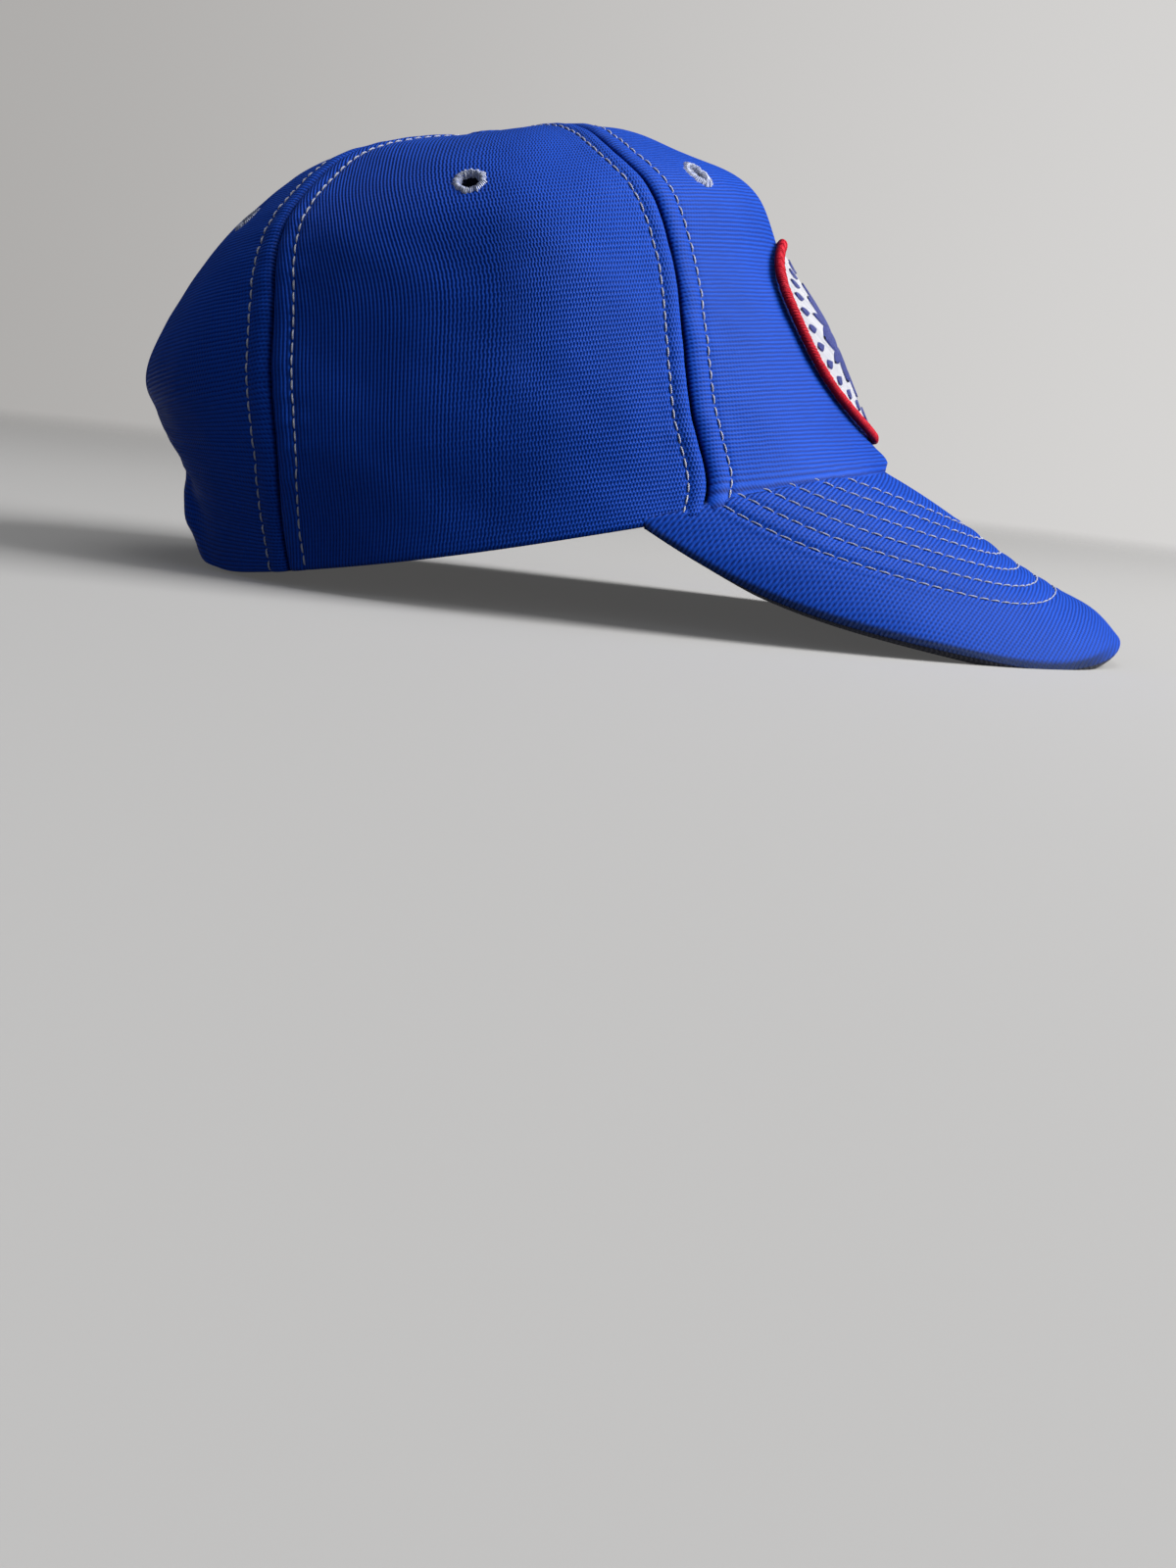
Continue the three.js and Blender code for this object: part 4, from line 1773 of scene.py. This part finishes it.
    def stitch_row(self, number: int, top: Array, surface: Array, place: Array) -> tuple[Array, Array]:
        """Finds one row of stitches, where the counted rows reach the row's own number.

        Args:
            number: Number of the row, from the outside.
            top: Grid of the top face.
            surface: Upward directions of the top face.
            place: Numbers of the rows on the unrolled grid.

        Returns:
            Path points and directions.
        """
        level = place - number
        path, directions = [], []
        for axis in (0, 1):
            here, there = (level[:-1], level[1:]) if axis == 0 else (level[:, :-1], level[:, 1:])
            row, column = np.nonzero(here * there < 0)
            share = (here / (here - there))[row, column][:, None]
            after = (row + 1, column) if axis == 0 else (row, column + 1)
            path.append(top[row, column] * (1 - share) + top[after] * share)
            directions.append(surface[row, column] * (1 - share) + surface[after] * share)
        points = np.concatenate(path)
        order = np.argsort(np.arctan2(points[:, 1], points[:, 0] - self.row_centre))
        return points[order], unit(np.concatenate(directions)[order])


# Badge


class Leaf(NamedTuple):
    """A satin leaf of the badge: where it starts and ends from the middle, and half its width."""

    start: float
    end: float
    half_wide: float


PETAL = Leaf(4.0, 18.5, 4.4)
SEPAL = Leaf(10.5, 19.5, 1.7)
MARK = Leaf(22.5, 26.5, 1.5)


@dataclass
class Badge:
    """A twill badge with a generic rosette and an overcast border."""

    shape: BadgeShape
    wardrobe: Wardrobe
    threads: int = 210
    petals: int = 8
    marks: int = 28
    puff: float = 0.35
    slant: float = 0.9
    ridge: float = 0.3
    leaf_high: float = 0.5
    leaf_gap: float = 0.03

    def build(self) -> list[bpy.types.Object]:
        """Makes the badge's pieces."""
        return [self.field(), self.border(), self.embroidery()]

    def top_of_field(self) -> float:
        """Gives the height of the twill."""
        return self.shape.lift + self.shape.thick

    def field(self) -> bpy.types.Object:
        """Makes the twill.

        Returns:
            The piece.
        """
        reach = self.shape.radius - self.shape.border - self.shape.gap
        radius = np.concatenate([np.linspace(0.01, 1, 26), [1.0, 0.01]]) * reach
        lift = np.concatenate([np.full(26, self.top_of_field()), [self.shape.lift, self.shape.lift]])
        turn = np.arange(96) * 2 * math.pi / 96
        left = radius[:, None] * np.sin(turn)
        up = radius[:, None] * np.cos(turn)
        soft = Waves(TWILL_SEED, 16, 0.07).at(left, up) * smoothstep(0, 6, reach - radius)[:, None]
        points = self.shape.lay(left, up, lift[:, None] + soft)
        mesh = Mesh()
        mesh.add_grid(points, np.stack([left, up], -1), closed=True)
        piece = mesh.build("patch_twill", [self.wardrobe.twill], weld=0.03)
        attach(piece, Slot.TWILL, "patch")
        return piece

    def border(self) -> bpy.types.Object:
        """Makes the overcast border, thread by thread.

        Returns:
            The piece.
        """
        samples, sides = 6, 14
        count = self.threads * samples
        turn = np.arange(count) * 2 * math.pi / count
        round_bead = np.arange(sides) * 2 * math.pi / sides
        thread = turn[:, None] * self.threads / 2
        thread = thread + self.slant * np.sin(round_bead)[None] * math.pi / 2
        draw = np.random.default_rng(BORDER_SEED)
        uneven = np.repeat(draw.uniform(-0.07, 0.07, self.threads), samples)[:, None]
        ridge = self.ridge * np.abs(np.sin(thread)) ** 0.6 - 0.2 + uneven
        half_wide = self.shape.border / 2 - 0.1
        half_high = self.shape.border_thick / 2 + self.puff
        radius = self.shape.radius - self.shape.border / 2 + (half_wide + ridge) * np.cos(round_bead)
        lift = self.shape.lift + half_high + (half_high + ridge) * np.sin(round_bead)
        points = self.shape.lay(radius * np.sin(turn)[:, None], radius * np.cos(turn)[:, None], lift)
        along = np.repeat(turn[:, None] * self.shape.radius, sides, 1)
        cloth = np.stack([np.broadcast_to(round_bead, along.shape), along], -1)
        mesh = Mesh()
        points = np.concatenate([points, points[:1]])
        cloth = np.concatenate([cloth, cloth[-1:]])
        mesh.add_grid(points, cloth, closed=True)
        piece = mesh.build("patch_border_thread", [self.wardrobe.red])
        attach(piece, Slot.THREAD, "patch_border")
        return piece

    def embroidery(self) -> bpy.types.Object:
        """Makes the rosette of satin petals and the ring of marks round it.

        Returns:
            The piece.
        """
        mesh = Mesh()
        for number in range(self.petals):
            self.add_leaf(mesh, 360 * number / self.petals, PETAL)
            self.add_leaf(mesh, 360 * (number + 0.5) / self.petals, SEPAL)
        for number in range(self.marks):
            self.add_leaf(mesh, 360 * (number + 0.5) / self.marks, MARK)
        piece = mesh.build("patch_embroidery", [self.wardrobe.blue], weld=0)
        attach(piece, Slot.THREAD)
        return piece

    def add_leaf(self, mesh: Mesh, angle: float, leaf: Leaf) -> None:
        """Adds one raised satin leaf.

        Args:
            mesh: Mesh to add to.
            angle: Degrees from the top of the badge.
            leaf: Its size.
        """
        length = leaf.end - leaf.start
        along = np.linspace(0, 1, max(12, int(length / 0.4)))[:, None]
        across = np.linspace(-1, 1, 11)[None, :]
        wide = leaf.half_wide * np.sin(math.pi * np.clip(along, 0.02, 0.98)) ** 0.75
        radius = leaf.start + length * along + np.zeros(across.shape)
        side = wide * across
        round_top = np.sqrt(np.clip(1 - np.abs(across) ** 2.5, 0, 1))
        bulge = self.leaf_high * round_top + np.zeros(along.shape)
        lift = self.top_of_field() + self.leaf_gap + bulge
        turn = math.radians(angle)
        left = radius * math.sin(turn) + side * math.cos(turn)
        up = radius * math.cos(turn) - side * math.sin(turn)
        mesh.add_grid(self.shape.lay(left, up, lift), np.stack([side, radius], -1))


# Button and strap


@dataclass
class Button:
    """The cloth-covered button on top."""

    crown: CrownShape
    wardrobe: Wardrobe
    radius: float = 8.0
    high: float = 2.0
    lift: float = 0.8
    shank: float = 4.6
    pleats: int = 16
    pleat: float = 0.14
    edge_round: float = 0.9

    def build(self) -> list[bpy.types.Object]:
        """Makes the button.

        Returns:
            The piece.
        """
        turn = np.arange(96) * 2 * math.pi / 96
        bend = np.linspace(math.pi / 2, -0.6, 22)
        flat = (self.radius - self.edge_round) * np.cos(np.clip(bend, 0, None)) ** 0.9
        radius = flat + self.edge_round * np.cos(bend)
        domed = (self.high - 0.6) * np.sin(np.clip(bend, 0, None))
        tucked = 0.5 * np.sin(np.clip(bend, -1, 0))
        high = self.lift + 0.5 + domed + tucked
        radius = np.concatenate([radius, [self.shank, self.shank]])
        high = np.concatenate([high, [self.lift - 0.2, -2 * self.crown.wall]])
        at_edge = smoothstep(0.6, 1.0, radius / self.radius)[:, None]
        pleat = self.pleat * np.cos(turn * self.pleats)[None] * at_edge
        reach = radius[:, None] - np.abs(pleat)
        points = np.stack([reach * np.cos(turn), reach * np.sin(turn), high[:, None] + pleat], -1)
        cloth = points[..., :2].copy()
        lean = self.crown.base(180.0, self.crown.top) - self.crown.base(0.0, self.crown.top)
        spin = Matrix.Rotation(math.atan2(lean[2], -lean[0]), 3, "Y")
        points = points @ np.array(spin).T + self.crown.base(0.0, 1.0)
        mesh = Mesh()
        mesh.add_grid(points, cloth, closed=True)
        piece = mesh.build("top_button_cloth", [self.wardrobe.front], weld=0.02)
        attach(piece, Slot.KNIT, "top_button")
        return [piece]


@dataclass
class Strap:
    """The plain plastic strap across the opening."""

    crown: CrownShape
    wardrobe: Wardrobe
    half_angle: float = 32.0
    low: float = 0.035
    high: float = 0.17
    thick: float = 1.6
    gap: float = 0.35
    pull: float = 9.0
    under_hem: float = 2.2
    hem_at: tuple[float, float] = (0.78, 0.2)
    dimples: int = 7
    dimple_radius: float = 2.1
    dimple_span: float = 0.62
    dimple_deep: float = 0.55
    dimple_edge: float = 0.6

    def build(self) -> list[bpy.types.Object]:
        """Makes the strap.

        Returns:
            The piece.
        """
        turns = np.linspace(-1, 1, 150)
        angle = 180 + self.half_angle * turns
        up = np.sin(np.linspace(-1, 1, 26) * math.pi / 2)
        share = (self.low + self.high) / 2 + (self.high - self.low) / 2 * up
        edge = np.sqrt(np.clip(1 - np.abs(up) ** 8, 0, 1))[:, None]
        ends = np.sqrt(np.clip(1 - np.abs(turns) ** 40, 0, 1))[None]
        half = self.thick / 2 * edge * ends
        pulled = self.pull * np.cos(math.pi / 2 * turns) ** 2
        pulled = pulled + self.under_hem * bell(np.abs(turns), *self.hem_at)
        middle = (-self.crown.wall - self.gap - self.thick / 2 - pulled)[None]
        grid_angle, grid_share = np.meshgrid(angle, share)
        points = self.crown.base(grid_angle, grid_share)
        dimple = np.zeros(grid_angle.shape)
        for k in range(self.dimples):
            place = 180 + self.half_angle * self.dimple_span * (2 * k / (self.dimples - 1) - 1)
            centre = self.crown.base(place, (self.low + self.high) / 2)
            away = np.linalg.norm(points - centre, axis=-1)
            inside = 1 - smoothstep(self.dimple_radius - self.dimple_edge, self.dimple_radius, away)
            dimple += self.dimple_deep * inside
        outer = self.crown.cloth(grid_angle, grid_share, middle + half - dimple)
        inner = self.crown.cloth(grid_angle, grid_share, middle - half)
        mesh = Mesh()
        closed_sheet(mesh, outer, inner, np.stack([grid_angle, grid_share * 100], -1))
        piece = mesh.build("back_strap_plastic", [self.wardrobe.plastic, self.wardrobe.plastic])
        attach(piece, Slot.STRAP, "back_strap")
        return [piece]


# Fixing to the body


def attach(piece: bpy.types.Object, slot: Slot, node: str | None = None) -> None:
    """Fixes a piece to the cap's body.

    Args:
        piece: The piece.
        slot: Material slot that its finish follows; not used.
        node: CAD node that it stands for, if it does.
    """
    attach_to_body(piece, BODY)
    if node is not None:
        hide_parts(node)
    triangles = sum(len(face.vertices) - 2 for face in piece.data.polygons)
    LOG.info("%s: %d triangles", piece.name, triangles)


# Studio


class Lamp(NamedTuple):
    """A square soft light: where it stands in metres, its watts and its colour."""

    name: str
    place: tuple[float, float, float]
    power: float
    colour: Colour = (1.0, 1.0, 1.0)


LAMPS = (
    Lamp("window", (1.8, -0.1, 1.3), 82.0),
    Lamp("sky", (0.2, 0.2, 2.0), 12.0),
    Lamp("fill", (1.0, -1.4, 0.9), 3.0),
    Lamp("rear_fill", (-0.9, -1.5, 0.8), 3.0, (0.72, 0.84, 1.0)),
)
LAMP_AIM = (0.02, 0, 0.05)
LAMP_SIZE = 1.5


@dataclass
class Studio:
    """Floor, light and the photograph's camera."""

    floor_reach: float = 2.6
    fade: tuple[float, float] = (0.5, 2.4)
    floor_colour: Colour = (0.409, 0.403, 0.396)
    # Painted light on the backdrop: shaded colour on the left, lit colour on the right.
    wall_shade_to_light: tuple[Colour, Colour] = ((0.4, 0.39, 0.38), (0.7, 0.69, 0.68))
    ambient: float = 0.03
    ambient_colour: Colour = (0.9, 0.93, 1.0)
    floor_glow: float = 0.17
    floor_roughness: float = 0.9
    floor_sides: int = 128
    sensor: float = 36.0
    focal_pixels: float = 1800.0
    image_high: float = 1600.0
    horizon: float = 452.0
    worn_tilt: float = 7.05
    worn_place: tuple[float, float, float] = (-14.56, 0.0, -22.8)
    distance: float = 535.6

    def build(self) -> None:
        """Makes the whole studio."""
        self.camera()
        self.floor()
        self.lights()
        self.backdrop()

    def camera(self) -> None:
        """Puts the camera where the photograph's stood, as seen from the cap."""
        turn = Matrix.Rotation(-math.radians(REST.tilt - self.worn_tilt), 4, "Y")
        eye = Vector((0, -self.distance, 0)) - Vector(self.worn_place)
        place = turn @ eye + Vector((REST.shift, 0, REST.high))
        pitch = math.atan((self.image_high / 2 - self.horizon) / self.focal_pixels)
        level = Matrix.Rotation(math.pi / 2 - pitch, 4, "X")
        data = bpy.data.cameras.new("camera")
        data.sensor_fit = "VERTICAL"
        data.sensor_height = self.sensor
        data.lens = self.sensor * self.focal_pixels / self.image_high
        data.clip_start = 0.01
        camera = bpy.data.objects.new("camera", data)
        camera.matrix_world = Matrix.Translation(place * MM) @ turn @ level
        bpy.context.scene.collection.objects.link(camera)
        bpy.context.scene.camera = camera

    def floor(self) -> None:
        """Makes a round pale floor that fades into the backdrop far away."""
        turn = np.arange(self.floor_sides) * 2 * math.pi / self.floor_sides
        points = self.floor_reach * np.stack([np.cos(turn), np.sin(turn), 0 * turn], -1)
        mesh = bpy.data.meshes.new("floor")
        mesh.from_pydata(points.tolist(), [], [list(range(len(points)))])
        mesh.materials.append(self.floor_material())
        floor = bpy.data.objects.new("floor", mesh)
        floor.visible_diffuse = False
        bpy.context.scene.collection.objects.link(floor)

    def floor_material(self) -> bpy.types.Material:
        """Makes the floor's pale paint.

        Returns:
            The material.
        """
        material = bpy.data.materials.new("floor")
        material.use_nodes = True
        nodes = Nodes(material.node_tree)
        shader = next(n for n in material.node_tree.nodes if n.type == "BSDF_PRINCIPLED")
        shader.inputs["Base Color"].default_value = (*self.floor_colour, 1)
        shader.inputs["Emission Color"].default_value = (*self.floor_colour, 1)
        shader.inputs["Emission Strength"].default_value = self.floor_glow
        shader.inputs["Roughness"].default_value = self.floor_roughness
        place = nodes.add("ShaderNodeTexCoord").outputs["Object"]
        away = nodes.add("ShaderNodeVectorMath", {0: place}, operation="LENGTH").outputs["Value"]
        near, far = self.fade
        span = {"Value": away, "From Min": near, "From Max": far, "To Min": 1.0, "To Max": 0.0}
        fade = nodes.add("ShaderNodeMapRange", span, interpolation_type="SMOOTHSTEP")
        nodes.tree.links.new(fade.outputs["Result"], shader.inputs["Alpha"])
        return material

    def lights(self) -> None:
        """Sets a large soft window in front of the cap and three weak fills."""
        for lamp in LAMPS:
            data = bpy.data.lights.new(lamp.name, "AREA")
            data.color = lamp.colour
            data.size = LAMP_SIZE
            data.energy = lamp.power
            light = bpy.data.objects.new(lamp.name, data)
            light.location = lamp.place
            toward = Vector(LAMP_AIM) - Vector(lamp.place)
            light.rotation_euler = toward.to_track_quat("-Z", "Y").to_euler()
            bpy.context.scene.collection.objects.link(light)

    def backdrop(self) -> None:
        """Sets a faint sky light and the pale backdrop that only the camera sees, with painted light:
        darker on the left and brighter on the right, where the window light falls.
        """
        world = bpy.data.worlds.new("studio")
        world.use_nodes = True
        nodes = Nodes(world.node_tree)
        lit = next(n for n in world.node_tree.nodes if n.type == "BACKGROUND")
        lit.inputs["Color"].default_value = (*self.ambient_colour, 1)
        lit.inputs["Strength"].default_value = self.ambient
        # Painted light on the backdrop: it runs from shaded on the left to lit on the right.
        direction = nodes.add("ShaderNodeTexCoord").outputs["Generated"]
        side = nodes.add("ShaderNodeSeparateXYZ", {0: direction}).outputs["X"]
        span = {"Value": side, "From Min": -0.5, "From Max": 0.5}
        share = nodes.add("ShaderNodeMapRange", span, interpolation_type="SMOOTHSTEP").outputs["Result"]
        wall = nodes.mix(share, *self.wall_shade_to_light)
        seen = nodes.add("ShaderNodeBackground", {"Color": wall})
        ray = nodes.add("ShaderNodeLightPath").outputs["Is Camera Ray"]
        both = nodes.add("ShaderNodeMixShader", {0: ray, 1: lit.outputs[0], 2: seen.outputs[0]})
        output = next(n for n in world.node_tree.nodes if n.type == "OUTPUT_WORLD")
        nodes.tree.links.new(both.outputs[0], output.inputs["Surface"])
        bpy.context.scene.world = world
        bpy.context.scene.view_settings.view_transform = "Standard"


def main() -> None:
    """Builds the cap's looks and the studio."""
    logging.basicConfig(level=logging.INFO, format="%(name)s: %(message)s")
    wardrobe = Wardrobe()
    crown = CrownShape()
    Studio().build()
    builders = (
        Crown(crown, wardrobe),
        Peak(PeakShape(crown), wardrobe),
        Badge(BadgeShape(crown), wardrobe),
        Button(crown, wardrobe),
        Strap(crown, wardrobe),
    )
    pieces = [piece for builder in builders for piece in builder.build()]
    LOG.info("%d pieces", len(pieces))


if __name__ == "__main__":
    main()
